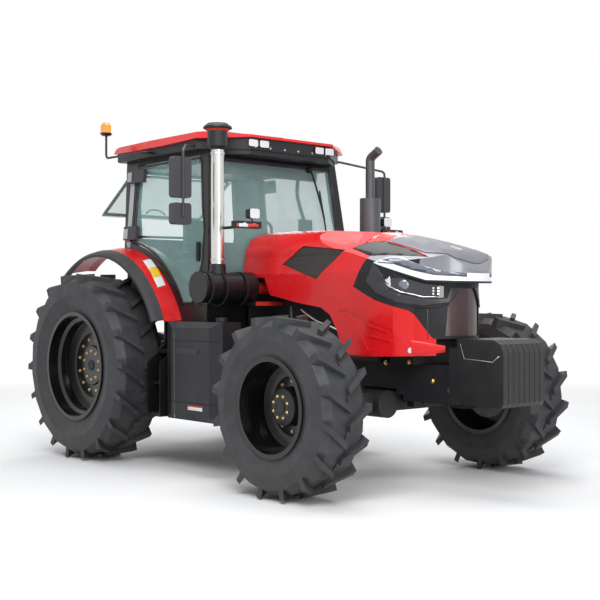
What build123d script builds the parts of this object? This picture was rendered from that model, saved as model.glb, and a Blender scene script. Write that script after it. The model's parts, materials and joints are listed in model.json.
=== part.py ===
from build123d import *

import os
from math import asin, cos, degrees, hypot, radians, sin, sqrt, tan

# Four-wheel-drive farm tractor of about 200 horsepower, with an enclosed cab, a tilting hood,
# front ballast weights and a three-point hitch.
#
# Frame: +X is forward, +Y is the driver's left and +Z is up. The origin is on the ground, under
# the middle of the overall length and width. Sizes are in millimetres.

os.makedirs("parts", exist_ok=True)

SIDES = {"right": -1, "left": 1}  # name of a side and the sign of its Y

# ---------------------------------------------------------------------------
# Driving sizes
# ---------------------------------------------------------------------------
WHEELBASE = 2880
FRAME_REACH = 3640  # rear axle to the front face of the frame
CARRIER_LENGTH = 75  # casting between the frame and the ballast
WEIGHT_LENGTH = 435
LINK_REACH = 1130  # rear axle to the ends of the lower links
FIT = 0.3  # running clearance of a pin or shaft, all round

REAR_TRACK = 2260
REAR_TYRE_D = 1730  # over the tips of the lugs
REAR_TYRE_W = 520
REAR_RIM_D = 965

FRONT_TRACK = 2370
FRONT_TYRE_D = 1370
FRONT_TYRE_W = 440
FRONT_RIM_D = 711

WEIGHT_REACH = FRAME_REACH + CARRIER_LENGTH + WEIGHT_LENGTH
REAR_X = (LINK_REACH - WEIGHT_REACH) / 2  # rear axle, so that the length is centred
FRONT_X = REAR_X + WHEELBASE
REAR_HUB_Z = REAR_TYRE_D / 2
FRONT_HUB_Z = FRONT_TYRE_D / 2


def ahead(distance):
    """X of a point that lies this far ahead of the rear axle."""
    return REAR_X + distance


FRAME_FRONT = ahead(FRAME_REACH)


def behind_nose(distance):
    """X of a point that lies this far behind the front face of the frame."""
    return FRAME_FRONT - distance


def save(part, name):
    part.label = name
    export_step(part, f"parts/{name}.step")


# ---------------------------------------------------------------------------
# Forms that work inside the part being built
# ---------------------------------------------------------------------------
def block(x_from, x_to, y_from, y_to, z_from, z_to, mode=Mode.ADD):
    """A box between the given limits."""
    with Locations(((x_from + x_to) / 2, (y_from + y_to) / 2, (z_from + z_to) / 2)):
        Box(abs(x_to - x_from), abs(y_to - y_from), abs(z_to - z_from), mode=mode)


def outline_across(points, y_from, y_to, mode=Mode.ADD):
    """Extrudes an outline of (x, z) points along Y."""
    with BuildSketch(Plane.XZ.offset(-max(y_from, y_to))) as profile:
        with BuildLine():
            Polyline(*points, close=True)
        make_face()
    extrude(profile.sketch, amount=abs(y_to - y_from), mode=mode)


def outline_along(points, x_from, x_to, mode=Mode.ADD):
    """Extrudes an outline of (y, z) points along X."""
    with BuildSketch(Plane.YZ.offset(min(x_from, x_to))) as profile:
        with BuildLine():
            Polyline(*points, close=True)
        make_face()
    extrude(profile.sketch, amount=abs(x_to - x_from), mode=mode)


def outline_up(points, z_from, z_to, mode=Mode.ADD):
    """Extrudes an outline of (x, y) points along Z."""
    with BuildSketch(Plane.XY.offset(z_from)) as profile:
        with BuildLine():
            Polyline(*points, close=True)
        make_face()
    extrude(profile.sketch, amount=z_to - z_from, mode=mode)


def bar(start, end, radius, mode=Mode.ADD):
    """A round bar between two points."""
    reach = Vector(*end) - Vector(*start)
    with BuildSketch(Plane(origin=start, z_dir=reach)) as section:
        Circle(radius)
    extrude(section.sketch, amount=reach.length, mode=mode)


THIN_TUBE_R = 20


def bent_tube(points, bend, radius):
    """A tube along straight runs joined by tangent arcs; thin ones get eight flats."""
    with BuildLine() as path:
        FilletPolyline(*points, radius=bend)
    with BuildSketch(Plane(origin=path.line @ 0, z_dir=path.line % 0)) as section:
        if radius < THIN_TUBE_R:
            RegularPolygon(radius, 8)
        else:
            Circle(radius)
    sweep(section.sketch, path=path.line)


def rounded_box(x_from, x_to, y_from, y_to, z_from, z_to, corner):
    """A housing with rounded corners as seen along the tractor."""
    plane = Plane.YZ.offset(min(x_from, x_to))
    with BuildSketch(plane) as face:
        with Locations(((y_from + y_to) / 2, (z_from + z_to) / 2)):
            RectangleRounded(abs(y_to - y_from), abs(z_to - z_from), corner)
    extrude(face.sketch, amount=abs(x_to - x_from))


def turned(hub, side, profile, mode=Mode.ADD):
    """Revolves a profile of (outward distance, radius) points about a wheel's axis."""
    plane = Plane(origin=hub, x_dir=(0, side, 0), z_dir=(side, 0, 0))
    with BuildSketch(plane) as section:
        with BuildLine():
            Polyline(*profile, close=True)
        make_face()
    revolve(section.sketch, axis=Axis(hub, (0, 1, 0)), mode=mode)


# ---------------------------------------------------------------------------
# Tyres with lugs, and wheels
# ---------------------------------------------------------------------------
RIM_LIP = 22  # height of the rim flange above the bead seat
RIM_WALL = 14
BEAD = 0.405  # half-width over the beads, as a share of the tyre's width
LUG_HEIGHT = 46
LUG_BAR = 50  # length of a lug along the tread
LUG_SLANT = 35  # degrees that a lug turns from straight across
TREAD_FLAT = 0.33  # half-width of the level tread, as a share of the tyre's width
TREAD_END = 0.465  # half-width over the shoulders
SHOULDER_DROP = 46
LUG_ROWS = (-1, 1)


def lug_run(width):
    """How far a lug's outer end trails its inner end."""
    return TREAD_END * width * tan(radians(LUG_SLANT))


def make_lug(hub, row, outer, width):
    """One lug of a row, at the top of the tyre: a bar from the centre to the shoulder."""
    run, outer_end = lug_run(width), row * TREAD_END * width
    lead = (run + LUG_BAR) / 2
    outline = [(lead, 0), (lead - run, outer_end), (-lead, outer_end), (run - lead, 0)]
    top = sqrt(outer * outer - lead * lead)  # the corners reach the outer radius
    depth = LUG_HEIGHT + SHOULDER_DROP
    base = Plane(origin=(hub[0], hub[1], hub[2] + top - depth))
    with BuildPart() as lug:
        with BuildSketch(base):
            with BuildLine():
                Polyline(*outline, close=True)
            make_face()
        extrude(amount=depth)
    return lug.part


def make_tread(hub, row, outer, width, lugs):
    """Half of the tread: one flat for each lug, so that the lugs seat on flat ground."""
    tread = outer - LUG_HEIGHT
    stations = [
        # outward share of the width, radius
        (0, tread),
        (TREAD_FLAT, tread),
        (TREAD_END, tread - SHOULDER_DROP),
    ]
    # The leading corner of one lug stands straight down; the other row is half a lug behind
    corner = degrees(asin((lug_run(width) + LUG_BAR) / 2 / outer))
    phase = 180 - corner + (1 - row) * 90 / lugs
    rings = []
    for share, r in stations:
        plane = Plane(
            origin=(hub[0], hub[1] + row * share * width, hub[2]), x_dir=(0, 0, 1), z_dir=(0, 1, 0)
        )
        with BuildSketch(plane) as ring:
            RegularPolygon(r, lugs, major_radius=False, rotation=phase + 180 / lugs)
        rings.append(ring.sketch)
    axle = Axis(hub, (0, 1, 0))
    lug = make_lug(hub, row, outer, width)
    with BuildPart() as half:
        loft(rings[:2], ruled=True)
        loft(rings[1:], ruled=True)
        add([lug.rotate(axle, phase + i * 360 / lugs) for i in range(lugs)])
        ends = [(hub[0], hub[1] + share * width, hub[2]) for share in LUG_ROWS]
        bar(*ends, tread - 2 * SHOULDER_DROP, mode=Mode.SUBTRACT)
    return half.part


def make_tyre(hub, outer_d, width, rim_d, lugs):
    """An agricultural tyre with two rows of lugs that lead at the centre."""
    outer, seat = outer_d / 2, rim_d / 2 + FIT
    shoulder = outer - LUG_HEIGHT - SHOULDER_DROP
    half = [
        # outward share of the width, radius
        (TREAD_END, shoulder),
        (0.50, (shoulder + seat) / 2 + 30),
        (BEAD, seat + RIM_LIP + 8),
        (BEAD, seat),
    ]
    profile = [(share * width, r) for share, r in half]
    profile += [(-share * width, r) for share, r in reversed(half)]
    with BuildPart() as tyre:
        turned(hub, 1, profile)
        for row in LUG_ROWS:
            add(make_tread(hub, row, outer, width, lugs))
    return tyre.part


REAR_DISC_OUT = 20  # outer face of the wheel disc, outward of the tyre's middle
REAR_HOUSING_END = 880  # end face of the axle housing, from the middle of the tractor
REAR_SHAFT_R = 50
REAR_HUB_R = 130
FRONT_DISC_OUT = -40
FRONT_STUB_R = 42
KINGPIN_Y = 915
KNUCKLE_R = 78
KNUCKLE_H = 190
EAR_H = 42  # thickness of each ear of the axle's yoke
EAR_GAP = 1
PIN_R = 26
FLANGE_GAP = 6  # between the axle housing and the wheel's flange


def make_rear_wheel(hub, side):
    """A deep-dished steel wheel with the axle flange and the shaft that carries it."""
    seat = REAR_RIM_D / 2
    edge = BEAD * REAR_TYRE_W
    disc = REAR_DISC_OUT
    rim = [
        (edge + FIT, seat),
        (edge + FIT, seat + RIM_LIP),
        (edge + 20, seat + RIM_LIP),
        (edge + 20, seat - RIM_WALL),
        (edge - 70, seat - RIM_WALL - 16),
        (edge - 90, seat - RIM_WALL - 46),
        (disc + 24, seat - RIM_WALL - 54),
        (disc, 305),
        (disc, 190),
        (disc + 16, 182),
        (disc + 16, 0),
        (disc - 34, 0),
        (disc - 34, 205),
        (disc - 18, 305),
        (disc + 2, seat - RIM_WALL - 38),
        (disc - 26, seat - RIM_WALL - 16),
        (-edge - 20, seat - RIM_WALL),
        (-edge - 20, seat + RIM_LIP),
        (-edge - FIT, seat + RIM_LIP),
        (-edge - FIT, seat),
    ]
    with BuildPart() as wheel:
        turned(hub, side, rim)
        # Flange and shaft that turn in the axle housing
        inner = (hub[0], hub[1] + side * (disc - 34), hub[2])
        flange = (hub[0], side * (REAR_HOUSING_END + FLANGE_GAP), hub[2])
        shaft = (hub[0], side * (REAR_HOUSING_END - 80), hub[2])
        bar(inner, flange, REAR_HUB_R)
        bar(flange, shaft, REAR_SHAFT_R)
    return wheel.part


def make_front_wheel(hub, side):
    """A dished steel wheel with the round cover of its reduction gear and a stub shaft."""
    seat = FRONT_RIM_D / 2
    edge = BEAD * FRONT_TYRE_W
    disc = FRONT_DISC_OUT
    rim = [
        (edge + FIT, seat),
        (edge + FIT, seat + RIM_LIP),
        (edge + 18, seat + RIM_LIP),
        (edge + 18, seat - RIM_WALL),
        (edge - 60, seat - RIM_WALL - 14),
        (disc + 20, seat - RIM_WALL - 30),
        (disc, 230),
        (disc, 150),
        (disc + 96, 138),
        (disc + 118, 96),
        (disc + 118, 0),
        (disc - 22, 0),
        (disc - 22, 240),
        (disc - 4, seat - RIM_WALL - 14),
        (-edge - 18, seat - RIM_WALL),
        (-edge - 18, seat + RIM_LIP),
        (-edge - FIT, seat + RIM_LIP),
        (-edge - FIT, seat),
    ]
    with BuildPart() as wheel:
        turned(hub, side, rim)
        inner = (hub[0], hub[1] + side * (disc - 22), hub[2])
        stub = (hub[0], side * (KINGPIN_Y + KNUCKLE_R - 40), hub[2])
        bar(inner, stub, FRONT_STUB_R)
    return wheel.part


REAR_LUGS = 18  # in each row
FRONT_LUGS = 16

rear_tyre = make_tyre(
    (REAR_X, REAR_TRACK / 2, REAR_HUB_Z), REAR_TYRE_D, REAR_TYRE_W, REAR_RIM_D, REAR_LUGS
)
front_tyre = make_tyre(
    (FRONT_X, FRONT_TRACK / 2, FRONT_HUB_Z), FRONT_TYRE_D, FRONT_TYRE_W, FRONT_RIM_D, FRONT_LUGS
)
save(rear_tyre, "rear_tyre_left")
save(front_tyre, "front_tyre_left")
save(mirror(rear_tyre, about=Plane.XZ), "rear_tyre_right")
save(mirror(front_tyre, about=Plane.XZ), "front_tyre_right")

for name, side in SIDES.items():
    rear_hub = (REAR_X, side * REAR_TRACK / 2, REAR_HUB_Z)
    front_hub = (FRONT_X, side * FRONT_TRACK / 2, FRONT_HUB_Z)
    save(make_rear_wheel(rear_hub, side), f"rear_wheel_{name}")
    save(make_front_wheel(front_hub, side), f"front_wheel_{name}")

# ---------------------------------------------------------------------------
# Front axle: beam, knuckles and tie rod
# ---------------------------------------------------------------------------
ARM_LENGTH = 230  # kingpin to tie-rod pin, straight behind
TIE_Z = FRONT_HUB_Z - 60
TIE_PIN_R = 14
TIE_ROD_Z = TIE_Z - 42
BEAM_H = 150
BEAM_W = 150
TRUNNION_R = 35
SADDLE_REAR = FRONT_X - 190  # faces of the two saddles, towards the beam
SADDLE_FRONT = FRONT_X + 190
SADDLE_W = 70
SPINDLE_R = 82
SPINDLE_REACH = 60


def make_knuckle(side):
    """A knuckle that turns between the ears of the axle's yoke and carries the wheel."""
    y = side * KINGPIN_Y
    x, z = FRONT_X, FRONT_HUB_Z
    low, high = z - KNUCKLE_H / 2, z + KNUCKLE_H / 2
    spindle_end = (x, y + side * (KNUCKLE_R + SPINDLE_REACH), z)
    with BuildPart() as knuckle:
        bar((x, y, low), (x, y, high), KNUCKLE_R)
        bar((x, y, low - EAR_H - 14), (x, y, high + EAR_H + 14), PIN_R)
        # Spindle housing towards the wheel
        bar((x, y, z), spindle_end, SPINDLE_R)
        # Steering arm straight back, with its tie-rod pin
        block(x - ARM_LENGTH - 26, x - 40, y - 28, y + 28, TIE_Z - 22, TIE_Z + 8)
        bar((x - ARM_LENGTH, y, TIE_Z - 60), (x - ARM_LENGTH, y, TIE_Z - 22), TIE_PIN_R)
        bar(
            (x, y + side * (KNUCKLE_R - 42), z),
            spindle_end,
            FRONT_STUB_R + FIT,
            mode=Mode.SUBTRACT,
        )
    return knuckle.part


for name, side in SIDES.items():
    save(make_knuckle(side), f"knuckle_{name}")

with BuildPart() as front_axle:
    half = KINGPIN_Y - KNUCKLE_R - 40
    z = FRONT_HUB_Z
    ear_low = z - KNUCKLE_H / 2 - EAR_H - EAR_GAP
    ear_high = z + KNUCKLE_H / 2 + EAR_GAP
    outline_along(
        [
            (-half, z - BEAM_H / 2 + 25),
            (-400, z - BEAM_H / 2 - 20),
            (400, z - BEAM_H / 2 - 20),
            (half, z - BEAM_H / 2 + 25),
            (half, z + BEAM_H / 2 - 10),
            (-half, z + BEAM_H / 2 - 10),
        ],
        FRONT_X - BEAM_W / 2,
        FRONT_X + BEAM_W / 2,
    )
    # Differential bulge, offset to the right
    bar((FRONT_X - 120, -260, z - 30), (FRONT_X + 140, -260, z - 30), 110)
    # Trunnion along the tractor, on which the beam hangs in the frame's saddles
    bar((SADDLE_REAR - 60, 0, z), (SADDLE_FRONT + 60, 0, z), TRUNNION_R)
    for side in SIDES.values():
        y = side * KINGPIN_Y
        ear_in = side * (half - 60)
        for low in (ear_low, ear_high):
            block(FRONT_X - 55, FRONT_X + 55, ear_in, y, low, low + EAR_H)
            bar((FRONT_X, y, low), (FRONT_X, y, low + EAR_H), 55)
            bar((FRONT_X, y, low), (FRONT_X, y, low + EAR_H), PIN_R + FIT, mode=Mode.SUBTRACT)
        block(FRONT_X - 70, FRONT_X + 70, ear_in, side * half, ear_low, ear_high + EAR_H)
save(front_axle.part, "front_axle")

with BuildPart() as tie_rod:
    x, z = FRONT_X - ARM_LENGTH, TIE_ROD_Z
    bar((x, -KINGPIN_Y, z), (x, KINGPIN_Y, z), 17)
    for side in SIDES.values():
        y = side * KINGPIN_Y
        bar((x, y, z - 19), (x, y, z + 19), 30)
        bar((x, y, z - 19), (x, y, z + 19), TIE_PIN_R + FIT, mode=Mode.SUBTRACT)
save(tie_rod.part, "tie_rod")

# ---------------------------------------------------------------------------
# Backbone: front frame, engine, radiator, transmission and rear axle
# ---------------------------------------------------------------------------
FRAME_HALF_W = 215
FRAME_RAIL_W = 65
FRAME_Z = FRONT_HUB_Z + BEAM_H / 2 + 20  # underside of the rails, over the axle beam
FRAME_H = 205
FRAME_TOP = FRAME_Z + FRAME_H
WEIGHT_REAR = FRAME_FRONT + CARRIER_LENGTH
CARRIER_HALF_W = 245
ENGINE_REAR = ahead(1640)
ENGINE_FRONT = behind_nose(740)
ENGINE_HALF_W = 260
RADIATOR_REAR = behind_nose(560)
RADIATOR_FRONT = behind_nose(310)
GEARBOX_TOP = 1130
GEARBOX_LOW = 555
GEARBOX_REAR = ahead(-330)
GEARBOX_HALF_W = 235
ROCKSHAFT = (ahead(-335), 1085)  # x, z
ROCKSHAFT_R = 40
PTO_Z = 640
PTO_R = 17.45  # 35 mm splined stub
TOP_PIN = (ahead(-395), 860)  # x, z
TOP_PIN_R = 12.7
TOP_LINK_W = 50
LINK_PIN = (ahead(-200), 565)  # pivot of the lower links: x, z
LINK_PIN_R = 18
LINK_Y = 330  # middle of each lower link
LINK_W = 40
CAB_MOUNT_Z = 1075  # top of the pads under the cab's rear mounts
HOUSING_R = 110
HOUSING_ROOT_R = 190

with BuildPart() as front_frame:
    # Two side rails, the cast front and the saddles that carry the axle
    for side in SIDES.values():
        inner = side * (FRAME_HALF_W - FRAME_RAIL_W)
        block(ahead(2050), FRAME_FRONT, inner, side * FRAME_HALF_W, FRAME_Z, FRAME_TOP)
    nose_rear = SADDLE_FRONT + SADDLE_W
    block(nose_rear, FRAME_FRONT, -FRAME_HALF_W, FRAME_HALF_W, FRAME_Z - 90, FRAME_TOP)
    saddle_top = FRAME_Z - 45
    for near, far in (
        (SADDLE_REAR - SADDLE_W, SADDLE_REAR),
        (SADDLE_FRONT, SADDLE_FRONT + SADDLE_W),
    ):
        block(near, far, -95, 95, FRONT_HUB_Z - TRUNNION_R - 20, saddle_top)
        block(near, far, -FRAME_HALF_W, FRAME_HALF_W, saddle_top, FRAME_Z)
        ends = [(near - 1, 0, FRONT_HUB_Z), (far + 1, 0, FRONT_HUB_Z)]
        bar(*ends, TRUNNION_R + FIT, mode=Mode.SUBTRACT)
    # Front carrier that the ballast hangs on
    block(
        FRAME_FRONT,
        WEIGHT_REAR,
        -CARRIER_HALF_W,
        CARRIER_HALF_W,
        FRAME_Z - 80,
        FRAME_TOP + 135,
    )
save(front_frame.part, "front_frame")

with BuildPart() as engine:
    half = ENGINE_HALF_W
    block(ENGINE_REAR, ENGINE_FRONT, -half, half, FRAME_TOP, FRAME_TOP + 655)
    block(ENGINE_REAR, SADDLE_REAR - SADDLE_W - 20, -145, 145, FRAME_Z - 90, FRAME_TOP)
    block(ENGINE_REAR + 40, ENGINE_FRONT - 120, -120, 120, FRAME_TOP + 655, FRAME_TOP + 755)
    bar((ENGINE_FRONT, 0, FRAME_TOP + 365), (ENGINE_FRONT + 90, 0, FRAME_TOP + 365), 250)
    # Radiator and coolers, on the front frame
    block(RADIATOR_REAR, RADIATOR_FRONT, -300, 300, FRAME_TOP, FRAME_TOP + 680)

with BuildPart() as gearbox:
    outline_across(
        [
            (GEARBOX_REAR, GEARBOX_LOW),
            (ahead(300), GEARBOX_LOW),
            (ENGINE_REAR, 640),
            (ENGINE_REAR, GEARBOX_TOP),
            (ahead(-150), GEARBOX_TOP),
            (ahead(-240), 1150),
            (ROCKSHAFT[0] - 70, 1150),
            (ROCKSHAFT[0] - 80, 1010),
            (GEARBOX_REAR, 980),
        ],
        -GEARBOX_HALF_W,
        GEARBOX_HALF_W,
    )
    # Bore of the rockshaft
    ends = [(ROCKSHAFT[0], side * (GEARBOX_HALF_W + 1), ROCKSHAFT[1]) for side in (-1, 1)]
    bar(*ends, ROCKSHAFT_R + FIT, mode=Mode.SUBTRACT)
    # Power take-off stub
    bar((GEARBOX_REAR, 0, PTO_Z), (GEARBOX_REAR - 30, 0, PTO_Z), 60)
    bar((GEARBOX_REAR - 30, 0, PTO_Z), (GEARBOX_REAR - 110, 0, PTO_Z), PTO_R)
    # Ears and pin of the top link
    for side in SIDES.values():
        block(
            TOP_PIN[0] - 28,
            GEARBOX_REAR,
            side * (TOP_LINK_W / 2 + 1),
            side * (TOP_LINK_W / 2 + 17),
            TOP_PIN[1] - 35,
            TOP_PIN[1] + 35,
        )
    bar(
        (TOP_PIN[0], -TOP_LINK_W / 2 - 25, TOP_PIN[1]),
        (TOP_PIN[0], TOP_LINK_W / 2 + 25, TOP_PIN[1]),
        TOP_PIN_R,
    )

with BuildPart() as rear_axle:
    for side in SIDES.values():
        start = (REAR_X, side * GEARBOX_HALF_W, REAR_HUB_Z)
        middle = (REAR_X, side * 420, REAR_HUB_Z)
        end = (REAR_X, side * REAR_HOUSING_END, REAR_HUB_Z)
        bar(start, middle, HOUSING_ROOT_R)
        bar(middle, end, HOUSING_R)
        bar(
            (REAR_X, side * (REAR_HOUSING_END - 81), REAR_HUB_Z),
            end,
            REAR_SHAFT_R + FIT,
            mode=Mode.SUBTRACT,
        )
        # Two hanging plates with the pin of a lower link
        x, z = LINK_PIN
        for face in (-LINK_W / 2 - 19, LINK_W / 2 + 1):
            y = side * LINK_Y + face
            outline_across(
                [
                    (x - 45, z - 40),
                    (x + 45, z - 40),
                    (REAR_X + 60, REAR_HUB_Z - 150),
                    (REAR_X - 60, REAR_HUB_Z - 60),
                    (REAR_X - 160, REAR_HUB_Z - 60),
                    (x - 50, z + 60),
                ],
                y,
                y + 18,
            )
        y = side * LINK_Y
        bar((x, y - LINK_W / 2 - 30, z), (x, y + LINK_W / 2 + 30, z), LINK_PIN_R)
        # Pad under a rear mount of the cab
        block(REAR_X - 10, REAR_X + 130, side * 270, side * 390, REAR_HUB_Z + 135, CAB_MOUNT_Z)


# ---------------------------------------------------------------------------
# Front ballast: suitcase weights side by side on the carrier
# ---------------------------------------------------------------------------
WEIGHT_COUNT = 8
WEIGHT_PITCH = 61
WEIGHT_GAP = 5
WEIGHT_FRONT = WEIGHT_REAR + WEIGHT_LENGTH
WEIGHT_TOP = FRAME_TOP + 205
WEIGHT_BOTTOM = FRAME_Z - 80
HANGER_W = 41

with BuildPart() as front_weights:
    for i in range(WEIGHT_COUNT):
        y = (i - (WEIGHT_COUNT - 1) / 2) * WEIGHT_PITCH
        half = (WEIGHT_PITCH - WEIGHT_GAP) / 2
        outline_across(
            [
                (WEIGHT_REAR + FIT, WEIGHT_BOTTOM + 30),
                (WEIGHT_REAR + 60, WEIGHT_BOTTOM),
                (WEIGHT_FRONT - 20, WEIGHT_BOTTOM),
                (WEIGHT_FRONT, WEIGHT_BOTTOM + 30),
                (WEIGHT_FRONT, WEIGHT_TOP - 90),
                (WEIGHT_FRONT - 28, WEIGHT_TOP - 30),
                (WEIGHT_FRONT - 85, WEIGHT_TOP),
                (WEIGHT_REAR + FIT, WEIGHT_TOP),
            ],
            y - half,
            y + half,
        )
    block(
        WEIGHT_REAR + FIT,
        WEIGHT_REAR + HANGER_W,
        -WEIGHT_PITCH * WEIGHT_COUNT / 2,
        WEIGHT_PITCH * WEIGHT_COUNT / 2,
        WEIGHT_BOTTOM + 60,
        WEIGHT_TOP - 60,
    )
save(front_weights.part, "front_weights")

# ---------------------------------------------------------------------------
# Hood: one form, cut into the red shell, the black front and their inserts
# ---------------------------------------------------------------------------
HOOD_REAR = ahead(1430)
HOOD_START = HOOD_REAR - 60  # the form starts behind the hood and is cut off at its rear edge
HOOD_TAPER = ahead(2850)  # the flanks are straight up to here
HOOD_NOSE = FRAME_FRONT + 110  # tip of the bill over the headlights
HOOD_FACE = FRAME_FRONT - 15  # upright face with the grille
HOOD_HALF_W = 475
HOOD_TOP = 2097
HOOD_WALL = 24
HOOD_LOW = 1020
HOOD_PIN = (ahead(1475), 2030)  # hinge of the hood: x, z
HOOD_PIN_R = 9
HINGE_Y = 150
HINGE_W = 20
CROWN_FALL = 0.2  # slope of the crown towards the nose
CROWN_X = ahead(2400)  # where the sloping crown starts to show
LEDGE = 14  # rim of the black front between the light strip and the bill's underside


def hood_plan(inset, low, height, tip, shoulder, mode):
    """Extrudes a plan view with straight flanks that close to a rounded nose."""
    wide = HOOD_HALF_W - inset
    with BuildSketch(Plane.XY.offset(low)) as plan:
        with BuildLine():
            for s in (-1, 1):
                quarter = (tip - 250, s * (shoulder - inset))
                Line((HOOD_START, 0), (HOOD_START, s * wide))
                Line((HOOD_START, s * wide), (HOOD_TAPER, s * wide))
                ThreePointArc(
                    (HOOD_TAPER, s * wide), (behind_nose(400), s * (wide - 38)), quarter
                )
                cheek = (tip - 62 - 0.75 * inset, s * (shoulder - 155 - 0.75 * inset))
                ThreePointArc(quarter, cheek, (tip - inset, 0))
        make_face()
    extrude(plan.sketch, amount=height, mode=mode)


def hood_section(inset):
    """Adds the cross-section: upright flanks under a rounded crown."""
    wide, top = HOOD_HALF_W - inset, HOOD_TOP - inset
    with BuildSketch(Plane.YZ.offset(HOOD_START)) as section:
        with BuildLine():
            Line((-wide, HOOD_LOW - 100), (wide, HOOD_LOW - 100))
            for s in (-1, 1):
                Line((s * wide, HOOD_LOW - 100), (s * wide, top - 397))
                Line((s * wide, top - 397), (s * (wide - 30), top - 247))
                ThreePointArc(
                    (s * (wide - 30), top - 247),
                    (s * (wide - 75), top - 112),
                    (s * (wide - 190), top - 37),
                )
            ThreePointArc((-(wide - 190), top - 37), (0, top), (wide - 190, top - 37))
        make_face()
    extrude(section.sketch, amount=HOOD_NOSE - HOOD_START + 100)


def sloping_crown(inset):
    """Keeps what lies under a crown that falls towards the nose."""
    wide = HOOD_HALF_W - inset
    rise = CROWN_FALL * (CROWN_X - HOOD_START) - inset
    shoulder, edge, crown = 1980 + rise, 1900 + rise, 2130 + rise
    with BuildSketch(Plane.YZ.offset(HOOD_START)) as arch:
        with BuildLine():
            Line((-wide, 0), (wide, 0))
            for s in (-1, 1):
                Line((s * wide, 0), (s * wide, edge))
                Line((s * wide, edge), (s * (wide - 75), shoulder))
            ThreePointArc((-(wide - 75), shoulder), (0, crown), (wide - 75, shoulder))
        make_face()
    reach = HOOD_NOSE - HOOD_START + 100
    fall = Vector(1, 0, -CROWN_FALL)
    extrude(arch.sketch, amount=reach * fall.length, dir=fall, mode=Mode.INTERSECT)


BILL = [  # underside of the bill as (distance behind the frame's front, z)
    (690, 1795),
    (535, 1740),
    (356, 1685),
    (140, 1618),
    (-300, 1600),
]


def hood_form(inset):
    """The hood's outer form, or its inside when inset by the wall."""
    top = HOOD_TOP - inset
    low = HOOD_LOW - inset
    bill = [(behind_nose(d), z + inset) for d, z in BILL]
    under = [(bill[0][0], low - 10), *bill, (bill[-1][0], low - 10)]
    with BuildPart() as chin:
        # What the lower face leaves free under the bill
        outline_across(under, -700, 700)
        hood_plan(inset, low - 20, 1200, HOOD_FACE, 345, Mode.SUBTRACT)
    with BuildPart() as form:
        hood_section(inset)
        with BuildSketch(Plane.XZ) as side_view:
            with BuildLine():
                shoulder = (ahead(2650), top - 54)
                brow = (behind_nose(160), top - 212)
                tip = (HOOD_NOSE - inset, 1695 - inset / 2)
                Line((HOOD_START, low), (HOOD_START, top))
                Line((HOOD_START, top), (HOOD_REAR, top))
                ThreePointArc((HOOD_REAR, top), (ahead(2019), top - 19), shoulder)
                ThreePointArc(shoulder, (behind_nose(520), top - 112), brow)
                ThreePointArc(brow, (FRAME_FRONT + 12, top - 296), tip)
                Line(tip, (tip[0], low))
                Line((tip[0], low), (HOOD_START, low))
            make_face()
        extrude(side_view.sketch, amount=700, both=True, mode=Mode.INTERSECT)
        hood_plan(inset, low - 20, 1500, HOOD_NOSE, 350, Mode.INTERSECT)
        sloping_crown(inset)
        add(chin.part, mode=Mode.SUBTRACT)
    return form.part


MASK_EDGE = [  # rear edge of the black front as (distance behind the frame's front, z), upwards
    (-300, 1185),
    (140, 1185),
    (250, 1355),
    (300, 1402),
    (570, 1481),
    (800, 1587),
    (700, 1769),
    (640, 1832),
    (840, 1895),
    (640, 2030),
    (640, 2300),
    (-300, 2300),
]
MASK = [(behind_nose(d), z) for d, z in MASK_EDGE]

UNDER_HOOD = [  # outline below the red shell that is cut away: rear notch and wheel arch
    (ahead(1200), 900),
    (ahead(1200), 1676),
    (ahead(1730), 1676),
    (ahead(1809), 1524),
    (ahead(2160), 1460),
    (ahead(2461), 1420),
    (ahead(2571), 1359),
    (ahead(2651), 1239),
    (ahead(2700), 1120),
    (ahead(2765), 1030),
    (behind_nose(-260), 1072),
    (behind_nose(-260), 900),
]
MESH_WINDOW = [  # dark air mesh in each flank
    (ahead(2195), 1935),
    (ahead(2710), 1885),
    (ahead(2400), 1650),
    (ahead(1952), 1783),
]
CHEEK_PANEL = [  # shallow recess in the lower flank
    (behind_nose(965), 1394),
    (behind_nose(878), 1408),
    (behind_nose(416), 1251),
    (behind_nose(293), 1095),
    (behind_nose(633), 1090),
    (behind_nose(764), 1297),
]
CHEEK_DEPTH = 7
RIBS = [  # two raised lines in the recess: rear and front ends as (distance, z)
    ((661, 1292), (451, 1244)),
    ((624, 1208), (416, 1168)),
]
RIB_H = 14
LIGHT_STRIP = [  # bright strip that wraps round the bill
    (behind_nose(589), 1773),
    (behind_nose(535), 1740 + LEDGE),
    (behind_nose(356), 1685 + LEDGE),
    (behind_nose(140), 1618 + LEDGE),
    (behind_nose(-260), 1604 + LEDGE),
    (behind_nose(-260), 1676),
    (behind_nose(0), 1690),
    (behind_nose(188), 1752),
    (behind_nose(347), 1812),
    (behind_nose(471), 1815),
]
HEADLIGHT = [  # dark lens below the strip
    (behind_nose(550), 1606),
    (behind_nose(490), 1650),
    (behind_nose(340), 1650),
    (behind_nose(200), 1606),
    (behind_nose(85), 1585),
    (behind_nose(85), 1500),
    (behind_nose(210), 1492),
    (behind_nose(380), 1545),
]
GRILLE = [  # (y, z) outline of the grille in the upright face
    (-195, 1206),
    (-178, 1440),
    (-75, 1570),
    (75, 1570),
    (178, 1440),
    (195, 1206),
]
GRILLE_DEPTH = 8
OPEN_CHIN_W = 250  # the red cheeks end this far from the middle


def side_region(points, grow, mode):
    """Cuts or keeps a region of both flanks, given by its side view; grow widens it."""
    with BuildSketch(Plane.XZ) as region:
        with BuildLine():
            Polyline(*points, close=True)
        make_face()
        if grow:
            offset(amount=grow)
    extrude(region.sketch, amount=600, both=True, mode=mode)


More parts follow.
